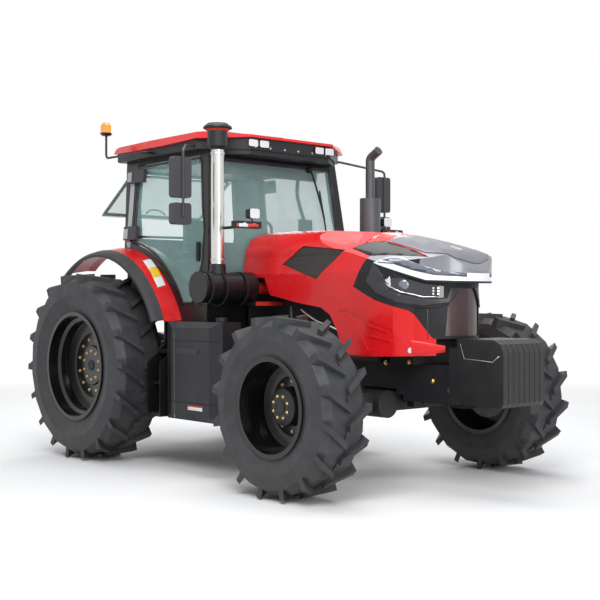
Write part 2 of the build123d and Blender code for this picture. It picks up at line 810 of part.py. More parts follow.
def front_region(points, grow, mode):
    """Cuts or keeps a region of the upright face, given by its front view."""
    with BuildSketch(Plane.YZ.offset(HOOD_FACE - 150)) as region:
        with BuildLine():
            Polyline(*points, close=True)
        make_face()
        if grow:
            offset(amount=grow)
    extrude(region.sketch, amount=250, mode=mode)


hood_outer = hood_form(0)
hood_inner = hood_form(HOOD_WALL)

with BuildPart() as cheek_recess:
    add(hood_outer)
    add(hood_form(CHEEK_DEPTH), mode=Mode.SUBTRACT)
    side_region(CHEEK_PANEL, 0, Mode.INTERSECT)
    for (rear, rear_z), (front, front_z) in RIBS:
        rib = [
            (behind_nose(rear), rear_z),
            (behind_nose(front), front_z),
            (behind_nose(front), front_z - RIB_H),
            (behind_nose(rear), rear_z - RIB_H),
        ]
        side_region(rib, 0, Mode.SUBTRACT)

with BuildPart() as hood_shell:
    add(hood_outer)
    add(hood_inner, mode=Mode.SUBTRACT)
    block(HOOD_START - 40, HOOD_REAR, -600, 600, 900, 2200, mode=Mode.SUBTRACT)
    outline_across(UNDER_HOOD, -600, 600, mode=Mode.SUBTRACT)
    outline_across(MASK, -600, 600, mode=Mode.SUBTRACT)
    chin = OPEN_CHIN_W
    block(behind_nose(250), HOOD_NOSE, -chin, chin, 900, 1400, mode=Mode.SUBTRACT)
    side_region(MESH_WINDOW, 0, Mode.SUBTRACT)
    add(cheek_recess.part, mode=Mode.SUBTRACT)
    # Ears that hang on the bulkhead's pins
    x, z = HOOD_PIN
    for side in SIDES.values():
        near = side * (HINGE_Y + HINGE_W / 2 + 2)
        far = side * (HINGE_Y + HINGE_W / 2 + 18)
        outline_across(
            [(x - 18, z + 40), (x - 16, z - 14), (x + 16, z - 14), (x + 40, z + 36)], near, far
        )
        bar((x, near - side, z), (x, far + side, z), HOOD_PIN_R + FIT, mode=Mode.SUBTRACT)
save(hood_shell.part, "hood_shell")

inset_outer = hood_form(GRILLE_DEPTH)
with BuildPart() as hood_mask:
    add(hood_outer)
    add(hood_inner, mode=Mode.SUBTRACT)
    outline_across(MASK, -600, 600, mode=Mode.INTERSECT)
    side_region(LIGHT_STRIP, 0, Mode.SUBTRACT)
    side_region(HEADLIGHT, 0, Mode.SUBTRACT)
    front_region(GRILLE, 0, Mode.SUBTRACT)
save(hood_mask.part, "hood_mask")

with BuildPart() as light_strip:
    add(hood_outer)
    add(hood_inner, mode=Mode.SUBTRACT)
    side_region(LIGHT_STRIP, -FIT, Mode.INTERSECT)

with BuildPart() as inset_skin:
    add(inset_outer)
    add(hood_inner, mode=Mode.SUBTRACT)

with BuildPart() as headlights:
    add(inset_skin.part)
    side_region(HEADLIGHT, -FIT, Mode.INTERSECT)
    add(light_strip.part)
save(headlights.part, "headlights")

with BuildPart() as mesh_panels:
    add(inset_skin.part)
    side_region(MESH_WINDOW, -FIT, Mode.INTERSECT)

with BuildPart() as hood_grilles:
    # Front grille, and the air mesh in each flank
    add(inset_skin.part)
    front_region(GRILLE, -FIT, Mode.INTERSECT)
    add(mesh_panels.part)
save(hood_grilles.part, "hood_grilles")

# ---------------------------------------------------------------------------
# Hinge of the hood, on a bulkhead in front of the cab
# ---------------------------------------------------------------------------
BULKHEAD_X = ahead(1436)
BULKHEAD_WALL = 12
BULKHEAD_TOP = HOOD_PIN[1] - 30

with BuildPart() as bulkhead:
    outline_along(
        [
            (-420, GEARBOX_TOP + 130),
            (-420, BULKHEAD_TOP - 290),
            (-390, BULKHEAD_TOP - 160),
            (-290, BULKHEAD_TOP - 10),
            (-250, BULKHEAD_TOP),
            (250, BULKHEAD_TOP),
            (290, BULKHEAD_TOP - 10),
            (390, BULKHEAD_TOP - 160),
            (420, BULKHEAD_TOP - 290),
            (420, GEARBOX_TOP + 130),
            (220, GEARBOX_TOP),
            (-220, GEARBOX_TOP),
        ],
        BULKHEAD_X,
        BULKHEAD_X + BULKHEAD_WALL,
    )
    x, z = HOOD_PIN
    for side in SIDES.values():
        outline_across(
            [
                (BULKHEAD_X + 2, BULKHEAD_TOP - 100),
                (BULKHEAD_X + 2, BULKHEAD_TOP - 4),
                (x - 16, z + 12),
                (x + 14, z + 14),
                (x + 16, z - 14),
                (BULKHEAD_X + 30, BULKHEAD_TOP - 100),
            ],
            side * (HINGE_Y - HINGE_W / 2),
            side * (HINGE_Y + HINGE_W / 2),
        )
        bar((x, side * (HINGE_Y - 14), z), (x, side * (HINGE_Y + 40), z), HOOD_PIN_R)

with BuildPart() as engine_bay:
    # The bulkhead stands on the gearbox, behind the engine
    add(engine.part)
    add(bulkhead.part)
save(engine_bay.part, "engine")

# ---------------------------------------------------------------------------
# Cab: a hollow form with its windows cut, doors in its sides, and a roof
# ---------------------------------------------------------------------------
CAB_WALL = 65
CAB_HALF_W = 850  # at the waist and below
CAB_TOP_HALF_W = 758
CAB_WAIST_Z = 1780
CAB_TOP = 2810
CAB_FLOOR = 1235
CAB_SILL = 1330  # underside of the raised floor behind the driver's feet
CAB_FRONT = ahead(1420)  # front face at the waist
CAB_REAR = ahead(-60)  # rear face at its lower knee
REAR_KNEE_Z = 1930
REAR_LEAN = 0.075  # the rear face leans back by this much for each unit of height
CORNER_LINE = 780  # the rear corners are cut at 45 degrees; where the cut meets the axle's plane
FENDER_R = REAR_TYRE_D / 2 + 253  # outer radius of the fenders about the rear axle
ARCH_R = FENDER_R + FIT  # underside of the cab's wheel arch
ARCH_HALF_W = 745  # the arch starts this far from the middle
LEAN = (CAB_HALF_W - CAB_TOP_HALF_W) / (CAB_TOP - CAB_WAIST_Z)  # inward lean of the sides


def cab_form(inset):
    """The cab's outer form, or its inside when inset by the wall."""
    low = CAB_FLOOR + inset
    top = CAB_TOP - inset
    rear_top = CAB_REAR - REAR_LEAN * (CAB_TOP - REAR_KNEE_Z)
    with BuildPart() as form:
        outline_across(
            [
                (ahead(1400) - inset, low),
                (CAB_FRONT - inset, CAB_WAIST_Z),
                (ahead(1300) - inset, top),
                (rear_top + inset, top),
                (CAB_REAR + inset, REAR_KNEE_Z),
                (CAB_REAR + inset, CAB_SILL + inset),
                (ahead(560), CAB_SILL + inset),
                (ahead(660), low),
            ],
            -1000,
            1000,
        )
        low_half, top_half = CAB_HALF_W - inset, CAB_TOP_HALF_W - inset
        section = [
            (-low_half, 1000),
            (-low_half, CAB_WAIST_Z),
            (-top_half, CAB_TOP),
            (top_half, CAB_TOP),
            (low_half, CAB_WAIST_Z),
            (low_half, 1000),
        ]
        outline_along(section, ahead(-300), ahead(1600), mode=Mode.INTERSECT)
        for side in SIDES.values():
            bar(
                (REAR_X, side * (ARCH_HALF_W - inset), REAR_HUB_Z),
                (REAR_X, side * 1000, REAR_HUB_Z),
                ARCH_R + inset * 0.6,
                mode=Mode.SUBTRACT,
            )
            # Rear corner, cut at 45 degrees
            cut = REAR_X - CORNER_LINE + inset * sqrt(2)
            corner = [(cut + 560, 560), (cut + 980, 980), (cut + 300, 980), (cut + 300, 560)]
            outline_up([(x, side * y) for x, y in corner], 1000, CAB_TOP + 10, Mode.SUBTRACT)
    return form.part


DOOR_REAR = 185  # door opening, distances ahead of the rear axle
DOOR_TOP = CAB_TOP - 45
DOOR_SHAPE = [  # front edge of the door opening as (distance, z), downwards
    (1175, DOOR_TOP),
    (1228, DOOR_TOP - 50),
    (1296, DOOR_TOP - 475),
    (1345, DOOR_TOP - 660),
    (1345, CAB_WAIST_Z + 20),
    (1195, 1432),
]
DOOR_ARCH_R = FENDER_R + 50  # the opening's lower rear edge about the rear axle
DOOR_GAP = 10
DOOR_RAIL = 20  # width of the frame round a door's window
DOOR_DEPTH = 32
HINGE_AHEAD = 60  # leaning hinge line of the doors, ahead of the rear axle
GLASS = 8


def door_prism(inset, y_from, y_to):
    """The region of a door as seen from the side, above the wheel arch."""
    with BuildPart() as prism:
        with BuildSketch(Plane.XZ.offset(-max(y_from, y_to))) as profile:
            with BuildLine():
                Polyline(
                    (ahead(DOOR_REAR), DOOR_TOP),
                    *[(ahead(d), z) for d, z in DOOR_SHAPE],
                    (ahead(DOOR_REAR), DOOR_SHAPE[-1][1]),
                    close=True,
                )
            make_face()
            if inset:
                offset(amount=-inset)
            with Locations((REAR_X, REAR_HUB_Z)):
                Circle(DOOR_ARCH_R + inset, mode=Mode.SUBTRACT)
        extrude(profile.sketch, amount=abs(y_to - y_from))
    return prism.part


HINGES = (  # (height, rear end and front end of the moving cover ahead of the rear axle)
    (CAB_TOP - 155, 80, 350),
    (CAB_TOP - 697, 78, 290),
)
HINGE_OUT = 14  # the hinge line stands this far out from the cab's skin
HINGE_R = 12
HINGE_H = 50
COVER_H = 128  # height of the cover over a hinge
DOOR_PIN_R = 6


def hinge_plane(side, z):
    """A plane across a door's leaning hinge line; its origin is on the cab's skin."""
    y = CAB_HALF_W - LEAN * (z - CAB_WAIST_Z)
    return Plane(
        origin=(ahead(HINGE_AHEAD), side * y, z), x_dir=(1, 0, 0), z_dir=(0, -side * LEAN, 1)
    )


def fixed_leaf(side, z):
    """Adds the cab's half of a door hinge: a barrel with its foot on the pillar."""
    centre = (0, side * HINGE_OUT)
    with BuildSketch(hinge_plane(side, z - HINGE_H / 2)) as leaf:
        with Locations(centre):
            Circle(HINGE_R)
        with Locations((-13, side * 3)):
            Rectangle(26, 16)
        with Locations(centre):
            Circle(DOOR_PIN_R + FIT, mode=Mode.SUBTRACT)
    extrude(leaf.sketch, amount=HINGE_H)


def moving_leaf(side, z, cover_from, cover_to):
    """Adds the door's half of a hinge: the pin, its barrel and the cover on the glass frame."""
    centre = (0, side * HINGE_OUT)
    start, end = cover_from - HINGE_AHEAD, cover_to - HINGE_AHEAD
    with BuildSketch(hinge_plane(side, z + HINGE_H / 2 + 1)) as barrel:
        with Locations(centre):
            Circle(HINGE_R)
        with Locations((start / 2 + 4, side * (HINGE_OUT - 2))):
            Rectangle(start + 8, 16)
    extrude(barrel.sketch, amount=COVER_H / 2 - HINGE_H / 2 - 3)
    with BuildSketch(hinge_plane(side, z - HINGE_H / 2)) as pin:
        with Locations(centre):
            Circle(DOOR_PIN_R)
    extrude(pin.sketch, amount=HINGE_H + 2)
    with BuildSketch(hinge_plane(side, z - COVER_H / 2)) as cover:
        with Locations(((start + end) / 2, side * 23)):
            Rectangle(end - start, 38)
        # Foot that reaches the door's frame
        with Locations((DOOR_REAR - HINGE_AHEAD + DOOR_GAP + DOOR_RAIL / 2, 0)):
            Rectangle(DOOR_RAIL, 24)
    extrude(cover.sketch, amount=COVER_H)


cab_outer = cab_form(0)
cab_inner = cab_form(CAB_WALL)
door_inner = cab_form(DOOR_DEPTH)
glass_outer = cab_form(12)
glass_inner = cab_form(12 + GLASS)

SCREEN_HALF_W = 685
SCREEN_FLARE = 65  # the windshield is wider at the bottom
SCREEN_LOW = 1610
SCREEN_TOP = CAB_TOP - 75
BACK_HALF_W = 590
BACK_LOW = 2080
BACK_TOP = CAB_TOP - 85
WINDOW_LAP = 30  # the rear window laps over the edge of its opening
WINDOW_T = 12
WINDOW_OUT = 10  # it closes this far outside the cab's skin, on its seal

BACK_PIN = (ahead(-152), CAB_TOP - 65)  # hinge of the rear window: x, z
BACK_PIN_R = 9
BACK_OPEN = 60  # degrees that the rear window stands open at rest


def screen_region(inset, x_from, x_to, mode):
    """The windshield's outline, extruded along the tractor."""
    low_half = SCREEN_HALF_W + SCREEN_FLARE - inset
    top_half = SCREEN_HALF_W - inset
    outline_along(
        [
            (-low_half, SCREEN_LOW + inset),
            (-top_half, SCREEN_TOP - inset),
            (top_half, SCREEN_TOP - inset),
            (low_half, SCREEN_LOW + inset),
        ],
        x_from,
        x_to,
        mode=mode,
    )


SEAT_FLOOR = CAB_SILL + CAB_WALL
SEAT_BASE = 1600  # top of the seat's pedestal
SEAT_BACK_LOW = SEAT_BASE + 130

with BuildPart() as cab_frame:
    add(cab_outer)
    add(cab_inner, mode=Mode.SUBTRACT)
    for side in SIDES.values():
        add(door_prism(0, side * 500, side * 1000), mode=Mode.SUBTRACT)
    screen_region(0, ahead(1000), ahead(1600), Mode.SUBTRACT)
    half = BACK_HALF_W
    block(ahead(-300), ahead(200), -half, half, BACK_LOW, BACK_TOP, mode=Mode.SUBTRACT)
    # Lugs of the rear window's hinge
    x, z = BACK_PIN
    for side in SIDES.values():
        block(x - 14, ahead(-112), side * 560, side * 590, z - 14, z + 14)
    bar((x, -600, z), (x, 600, z), BACK_PIN_R + FIT, mode=Mode.SUBTRACT)
    for side in SIDES.values():
        for z, cover_from, cover_to in HINGES:
            fixed_leaf(side, z)
    # Pedestal of the seat
    block(ahead(230), ahead(540), -210, 210, SEAT_FLOOR, SEAT_BASE - 40)
    block(ahead(190), ahead(640), -240, 240, SEAT_BASE - 40, SEAT_BASE)
    block(ahead(150), ahead(200), -60, 60, SEAT_BASE - 40, SEAT_BACK_LOW - FIT)
save(cab_frame.part, "cab_frame")

for name, side in SIDES.items():
    with BuildPart() as door:
        add(cab_outer)
        add(door_inner, mode=Mode.SUBTRACT)
        add(door_prism(DOOR_GAP, side * 500, side * 1000), mode=Mode.INTERSECT)
        add(door_prism(DOOR_GAP + DOOR_RAIL, side * 500, side * 1000), mode=Mode.SUBTRACT)
        for z, cover_from, cover_to in HINGES:
            moving_leaf(side, z, cover_from, cover_to)
    save(door.part, f"door_{name}")
    with BuildPart() as door_glass:
        add(glass_outer)
        add(glass_inner, mode=Mode.SUBTRACT)
        add(
            door_prism(DOOR_GAP + DOOR_RAIL + FIT, side * 500, side * 1000), mode=Mode.INTERSECT
        )
    save(door_glass.part, f"door_glass_{name}")

# ---------------------------------------------------------------------------
# Windshield, rear window and roof
# ---------------------------------------------------------------------------
with BuildPart() as windshield:
    add(glass_outer)
    add(glass_inner, mode=Mode.SUBTRACT)
    screen_region(FIT, ahead(1200), ahead(1600), Mode.INTERSECT)
save(windshield.part, "windshield")


def rear_face(z, out):
    """A point this far outside the cab's rear face, as (x, z)."""
    return (CAB_REAR - out - REAR_LEAN * (z - REAR_KNEE_Z), z)


with BuildPart() as rear_window:
    # Built closed, along the cab's rear face
    low, high = BACK_LOW - WINDOW_LAP, BACK_PIN[1] - 22
    half = BACK_HALF_W + WINDOW_LAP
    far = WINDOW_OUT + WINDOW_T
    outline_across(
        [
            rear_face(low, WINDOW_OUT),
            rear_face(high, WINDOW_OUT),
            rear_face(high, far),
            rear_face(low, far),
        ],
        -half,
        half,
    )
    x, z = BACK_PIN
    for side in SIDES.values():
        outline_across(
            [(x - 10, z), (x - 10, z - 60), (x + 21, z - 60), (x + 10, z)],
            side * 510,
            side * 558,
        )
        bar((x, side * 510, z), (x, side * 598, z), BACK_PIN_R)
        bar((x, side * 510, z), (x, side * 558, z), 13)
window_axis = Axis((BACK_PIN[0], 0, BACK_PIN[1]), (0, 1, 0))
save(rear_window.part.rotate(window_axis, BACK_OPEN), "rear_window")

ROOF_FRONT = ahead(1590)
ROOF_REAR = ahead(-230)
ROOF_HALF_W = 900
ROOF_TOP = CAB_TOP + 188
ROOF_EDGE = CAB_TOP + 70  # lowest part of the edge between the red cap and the dark lining
FASCIA_IN = 45  # the lining stands back under the cap
FASCIA_DROP = 42  # the lining's front lip hangs below the top of the cab


def roof_plan(inset):
    """The roof from above: narrower at the rear, with its front corners cut away."""
    wide, front = ROOF_HALF_W - inset, ROOF_FRONT - inset
    half = [
        (ROOF_REAR + inset / 2, wide - 150),
        (ROOF_REAR + 90 + inset / 2, wide - 50),
        (ahead(500), wide),
        (ahead(1290) - inset, wide),
        (front, 500 - inset / 2),
    ]
    return [(x, -y) for x, y in half] + [(x, y) for x, y in reversed(half)]


def roof_side_view(upper):
    """Sketches the cap above the curved edge line, or all that lies below it."""
    front_edge = (ROOF_FRONT, ROOF_EDGE + 36)
    rear_edge = (ROOF_REAR, ROOF_EDGE + 24)
    ThreePointArc(front_edge, (ahead(700), ROOF_EDGE), rear_edge)
    if upper:
        rear_top = (ROOF_REAR, ROOF_EDGE + 34)
        crest = (ahead(450), ROOF_TOP)
        front_top = (ROOF_FRONT, ROOF_TOP - 62)
        Line(rear_edge, rear_top)
        ThreePointArc(rear_top, (ahead(60), ROOF_TOP - 12), crest)
        ThreePointArc(crest, (ahead(1050), ROOF_TOP - 20), front_top)
        Line(front_top, front_edge)
    else:
        rear_low = (ahead(-90), CAB_TOP)
        Line(rear_edge, rear_low)
        Line(rear_low, (ROOF_FRONT, CAB_TOP))
        Line((ROOF_FRONT, CAB_TOP), front_edge)


with BuildPart() as roof_lining:
    # Dark lower part of the roof, resting on the cab's frame
    with BuildSketch(Plane.XZ) as side_view:
        with BuildLine():
            roof_side_view(upper=False)
        make_face()
    extrude(side_view.sketch, amount=1000, both=True)
    outline_up(roof_plan(FASCIA_IN), CAB_TOP, ROOF_TOP, Mode.INTERSECT)
    with BuildPart(mode=Mode.PRIVATE) as lip:
        outline_up(roof_plan(FASCIA_IN + 15), CAB_TOP - FASCIA_DROP, CAB_TOP)
        block(ROOF_REAR, ahead(1335), -1000, 1000, CAB_TOP - 60, CAB_TOP + 1, mode=Mode.SUBTRACT)
    add(lip.part)
save(roof_lining.part, "roof_lining")

with BuildPart() as roof:
    with BuildSketch(Plane.XZ) as side_view:
        with BuildLine():
            roof_side_view(upper=True)
        make_face()
    extrude(side_view.sketch, amount=1000, both=True)
    with BuildSketch(Plane.YZ.offset(ROOF_REAR - 50)) as crown:
        with BuildLine():
            wide, edge = ROOF_HALF_W + 20, ROOF_TOP - 48
            Polyline((wide, edge), (wide, CAB_TOP), (-wide, CAB_TOP), (-wide, edge))
            ThreePointArc((-wide, edge), (0, ROOF_TOP + 1), (wide, edge))
        make_face()
    extrude(crown.sketch, amount=2000, mode=Mode.INTERSECT)
    with BuildSketch(Plane.XY.offset(CAB_TOP + 60)) as plan:
        with BuildLine():
            Polyline(*roof_plan(0), close=True)
        make_face()
    extrude(plan.sketch, amount=140, taper=24, mode=Mode.INTERSECT)
save(roof.part, "roof")

# ---------------------------------------------------------------------------
# Fenders and their rubber flares
# ---------------------------------------------------------------------------
FENDER_WALL = 12
FENDER_OUT = 1020  # border between the steel fender and its rubber flare
FLARE_OUT = 1120
FENDER_FROM = 23  # degrees above level, ahead of the wheel
FENDER_TO = 125


def swept_band(side, profile, start, end):
    """Sweeps a profile of (y, r) points round the rear axle, between two angles."""
    turn = radians(end)
    plane = Plane(
        origin=(REAR_X, 0, REAR_HUB_Z), x_dir=(0, 1, 0), z_dir=(sin(turn), 0, -cos(turn))
    )
    with BuildSketch(plane) as section:
        with BuildLine():
            Polyline(*[(side * y, r) for y, r in profile], close=True)
        make_face()
    axle = Axis((REAR_X, 0, REAR_HUB_Z), (0, 1, 0))
    revolve(section.sketch, axis=axle, revolution_arc=end - start)


with BuildPart() as fenders:
    r, wall = FENDER_R, FENDER_WALL
    inner, crease = ARCH_HALF_W + FIT, ARCH_HALF_W + 95
    profile = [
        (inner, r),
        (crease, r),
        (FENDER_OUT, r - 30),
        (FENDER_OUT, r - 30 - wall),
        (crease - 3, r - wall),
        (inner, r - wall),
    ]
    for side in SIDES.values():
        swept_band(side, profile, FENDER_FROM, FENDER_TO)
save(fenders.part, "fenders")

with BuildPart() as flares:
    inner = FENDER_OUT + FIT
    profile = [
        (inner, r - 26),
        (FLARE_OUT - 32, r - 46),
        (FLARE_OUT, r - 72),
        (FLARE_OUT, r - 96),
        (FLARE_OUT - 16, r - 96),
        (FLARE_OUT - 44, r - 66),
        (inner, r - 48),
    ]
    for side in SIDES.values():
        swept_band(side, profile, FENDER_FROM + 1, FENDER_TO + 3)
save(flares.part, "flares")

# ---------------------------------------------------------------------------
# Tanks and steps
# ---------------------------------------------------------------------------
TANK_IN = 470
TANK_OUT = 1100
TANK_LOW = 450
TANK_TOP = CAB_FLOOR - 85  # under the cab
TANK_SHOULDER = CAB_FLOOR + 60  # beside the cab
TANKS = {  # name of the side, rear end and front end ahead of the rear axle
    "right": (1100, 1900),
    "left": (1245, 1760),
}
TANK_CORNER = 130

with BuildPart() as tanks:
    # Fuel tank on the right, shorter tank with the battery box on the left
    for name, (rear, front) in TANKS.items():
        side = SIDES[name]
        section = [
            (TANK_IN, TANK_LOW + 60),
            (TANK_IN, TANK_TOP),
            (CAB_HALF_W + 12, TANK_TOP),
            (CAB_HALF_W + 12, TANK_SHOULDER),
            (TANK_OUT - 40, TANK_SHOULDER),
            (TANK_OUT, TANK_SHOULDER - 50),
            (TANK_OUT, TANK_LOW + 50),
            (TANK_OUT - 60, TANK_LOW),
            (TANK_IN + 80, TANK_LOW),
        ]
        outline_along([(side * y, z) for y, z in section], ahead(rear), ahead(front))
        for end, inward in ((rear, 1), (front, -1)):
            x = ahead(end)
            corner = [
                (x - inward, side * (TANK_OUT - 45)),
                (x + inward * TANK_CORNER, side * (TANK_OUT + 1)),
                (x - inward, side * (TANK_OUT + 1)),
            ]
            outline_up(corner, TANK_LOW - 10, TANK_SHOULDER + 10, Mode.SUBTRACT)
        # Bracket to the gearbox
        near, far = side * (GEARBOX_HALF_W + FIT), side * (TANK_IN + 20)
        block(ahead(1300), ahead(1500), near, far, 700, 800)
save(tanks.part, "tanks")

STEP_REAR = REAR_TYRE_D / 2 + 20  # clear of the rear tyre
STEP_PLATE = 12
STEP_TREADS = (TANK_LOW + 10, 735, 1010)  # undersides of the treads
STEP_OUT = 1120

with BuildPart() as steps:
    for name, (tank_rear, tank_front) in TANKS.items():
        side = SIDES[name]
        rear, front = ahead(STEP_REAR), ahead(tank_rear - 15)
        for i, z in enumerate(STEP_TREADS):
            out = STEP_OUT - i * 55
            block(rear, front, side * (out - 200), side * out, z, z + 28)
        plate = [
            (CAB_HALF_W - 20, CAB_FLOOR - FIT),
            (CAB_HALF_W + 45, CAB_FLOOR - FIT),
            (940, 1080),
            (STEP_OUT, 930),
            (STEP_OUT, STEP_TREADS[0]),
            (CAB_HALF_W + 30, STEP_TREADS[0]),
        ]
        for x in (rear, front - STEP_PLATE):
            outline_along([(side * y, z) for y, z in plate], x, x + STEP_PLATE)
save(steps.part, "steps")

with BuildPart() as cab_mounts:
    for side in SIDES.values():
        bar((ahead(1290), side * 190, GEARBOX_TOP), (ahead(1290), side * 190, CAB_FLOOR), 40)
        x, y = REAR_X + 60, side * 330
        bar((x, y, CAB_MOUNT_Z), (x, y, CAB_SILL), 45)

# ---------------------------------------------------------------------------
# Exhaust, intake pipe and air cleaner
# ---------------------------------------------------------------------------
EXHAUST = (ahead(1950), 600)  # x, y
EXHAUST_Z = FRAME_TOP + 450  # where the pipe leaves the engine
with BuildPart() as exhaust:
    x, y = EXHAUST
    bar((x, ENGINE_HALF_W + FIT, EXHAUST_Z), (x, y, EXHAUST_Z), 40)
    bar((x, y, EXHAUST_Z - 40), (x, y, 1570), 42)
    bar((x, y, 1560), (x, y, 2410), 95)
    bent_tube([(x, y, 2400), (x, y, 2780), (x + 110, y, 2840)], 60, 42)
save(exhaust.part, "exhaust")

INTAKE = (ahead(1558), -850)  # x, y
CLEANER = (ahead(1560), 1590)  # x, z
CLEANER_R = 134
COLLAR_Z = 1790  # where the intake pipe seats on the cleaner's collar
CAP_R = 125
CAP_Z = CAB_TOP + 135
with BuildPart() as precleaner:
    x, y = INTAKE
    bar((x, y, COLLAR_Z + FIT), (x, y, CAP_Z - 175), 57)
    plane = Plane(origin=(x, y, 0), x_dir=(1, 0, 0), z_dir=(0, -1, 0))
    with BuildSketch(plane) as profile:
        with BuildLine():
            Polyline(
                (0, CAP_Z - 178),
                (62, CAP_Z - 178),
                (88, CAP_Z - 150),
                (88, CAP_Z - 20),
                (104, CAP_Z - 6),
                (CAP_R, CAP_Z + 6),
                (CAP_R - 4, CAP_Z + 22),
                (88, CAP_Z + 48),
                (0, CAP_Z + 54),
                close=True,
            )
        make_face()
    revolve(profile.sketch, axis=Axis((x, y, 0), (0, 0, 1)))
save(precleaner.part, "precleaner")

with BuildPart() as air_cleaner:
    x, z = CLEANER
    bar((x, -1060, z), (x, -500, z), CLEANER_R)
    bar((x, -510, z), (x, -300, z), 55)
    with BuildSketch(Plane.XY.offset(z + 40)) as neck:
        with Locations(INTAKE):
            Circle(88)
    extrude(neck.sketch, amount=COLLAR_Z - z - 40, taper=8)
    # Bracket to the engine's side
    low = z - CLEANER_R - 25
    block(x - 40, x + 160, -560, -ENGINE_HALF_W - FIT, low, low + 35)
    block(x - 40, x + 40, -560, -515, low, z - CLEANER_R + 25)
save(air_cleaner.part, "air_cleaner")

# ---------------------------------------------------------------------------
# Seat and controls
# ---------------------------------------------------------------------------
with BuildPart() as seat:
    block(ahead(215), ahead(680), -250, 250, SEAT_BASE + FIT, SEAT_BASE + 110)
    fillet(seat.edges().filter_by(Axis.Z), 60)
    block(ahead(100), ahead(210), -240, 240, SEAT_BACK_LOW, SEAT_BACK_LOW + 570)
save(seat.part, "seat")

WHEEL_R = 200
WHEEL_RIM_R = 15
COLUMN = (ahead(1180), 1900)  # top of the console: x, z
STEERING_HUB = (ahead(985), 2072)
WHEEL_TILT = 41  # degrees that the steering wheel leans from level

with BuildPart() as steering:
    block(ahead(1130), ahead(1290), -140, 140, CAB_FLOOR + CAB_WALL, COLUMN[1] + 50)
    hub = (STEERING_HUB[0] - 5, 0, STEERING_HUB[1] + 4)
    bar((COLUMN[0], 0, COLUMN[1]), hub, 22)
    tilt = radians(WHEEL_TILT)
    centre = (STEERING_HUB[0], 0, STEERING_HUB[1])
    axis_dir = (-cos(tilt), 0, sin(tilt))
    rim_plane = Plane(origin=centre, x_dir=(0, 1, 0), z_dir=Vector(0, 1, 0).cross(Vector(*axis_dir)))
    with BuildSketch(rim_plane) as rim_section:
        with Locations((WHEEL_R, 0)):
            RegularPolygon(WHEEL_RIM_R, 6)
    revolve(rim_section.sketch, axis=Axis(centre, axis_dir))
    with Locations(Plane(origin=centre, x_dir=(0, 1, 0), z_dir=axis_dir)):
        Box(2 * WHEEL_R, 26, 14)
        Box(26, 2 * WHEEL_R, 14)
save(steering.part, "steering")

# ---------------------------------------------------------------------------
# Mirrors, lamps and beacon
# ---------------------------------------------------------------------------
FASCIA_SIDE = ROOF_HALF_W - FASCIA_IN  # outer face of the roof lining
FASCIA_Z = CAB_TOP + 30
FASCIA_FRONT = ROOF_FRONT - FASCIA_IN
ROD_R = 11
MIRRORS = (  # lower and upper edge of each head
    (2340, 2684),
    (2115, 2296),
)
with BuildPart() as mirrors:
    for side in SIDES.values():
        bent_tube(
            [
                (ahead(1200), side * (FASCIA_SIDE + FIT), FASCIA_Z),
                (ahead(1200), side * 930, FASCIA_Z),
                (ahead(1545), side * 1200, 2735),
                (ahead(1545), side * 1200, 2180),
            ],
            40,
            ROD_R,
        )
        for low, high in MIRRORS:
            rounded_box(ahead(1468), ahead(1537), side * 1108, side * 1292, low, high, 28)
save(mirrors.part, "mirrors")

SIDE_LAMP = (ahead(1960), 2105)  # middle of the bar lamp on the long arm: x, z
ROOF_LAMPS = (330, 455)  # distances of the roof lamps from the middle
with BuildPart() as work_lamps:
    x, z = SIDE_LAMP
    for side in SIDES.values():
        root = CAB_FRONT - (CAB_FRONT - ahead(1300)) * (z - CAB_WAIST_Z) / (CAB_TOP - CAB_WAIST_Z)
        bent_tube(
            [
                (root + 2.2, side * 745, z),
                (ahead(1640), side * 750, z),
                (x, side * 800, z),
            ],
            60,
            13,
        )
        block(x - 35, x + 35, side * 720, side * 985, z - 28, z + 28)
        bar((x, side * 790, z + 28), (x, side * 790, z + 60), 10)
        rounded_box(x - 30, x + 34, side * 740, side * 840, z + 55, z + 135, 18)
        for y in ROOF_LAMPS:
            near, far = FASCIA_FRONT + FIT, FASCIA_FRONT + 14
            rounded_box(near, far, side * (y - 52), side * (y + 52), FASCIA_Z - 5, FASCIA_Z + 55, 14)
save(work_lamps.part, "work_lamps")

BEACON = (ahead(-90), -950)  # x, y
BEACON_R = 55
with BuildPart() as beacon:
    x, y = BEACON
    bent_tube(
        [
            (ahead(560), -FASCIA_SIDE - FIT, FASCIA_Z),
            (ahead(560), y, FASCIA_Z),
            (x, y, FASCIA_Z + 5),
            (x, y, 3070),
        ],
        40,
        ROD_R,
    )
    plane = Plane(origin=(x, y, 0), x_dir=(1, 0, 0), z_dir=(0, -1, 0))
    with BuildSketch(plane) as profile:
        with BuildLine():
            Polyline(
                (0, 3062),
                (40, 3062),
                (BEACON_R + 5, 3082),
                (BEACON_R, 3092),
                (BEACON_R, 3160),
                (BEACON_R - 18, 3186),
                (0, 3190),
                close=True,
            )
        make_face()
    revolve(profile.sketch, axis=Axis((x, y, 0), (0, 0, 1)))
save(beacon.part, "beacon")

# ---------------------------------------------------------------------------
# Three-point hitch and drawbar
# ---------------------------------------------------------------------------
LIFT_REACH = 380  # rockshaft to rod pin, and lower pivot to rod pin
LINK_SLOPE = 8  # degrees that arms and links slope down to the rear
LINK_LENGTH = 885
ROD_PIN_R = 15
ROD_W = 36
BALL_R = 48
BALL_PIN_R = 18.4


def sloped(start, distance):
    """The point at a distance along an arm or link from its pivot, as (x, z)."""
    angle = radians(LINK_SLOPE)
    return (start[0] - distance * cos(angle), start[1] - distance * sin(angle))


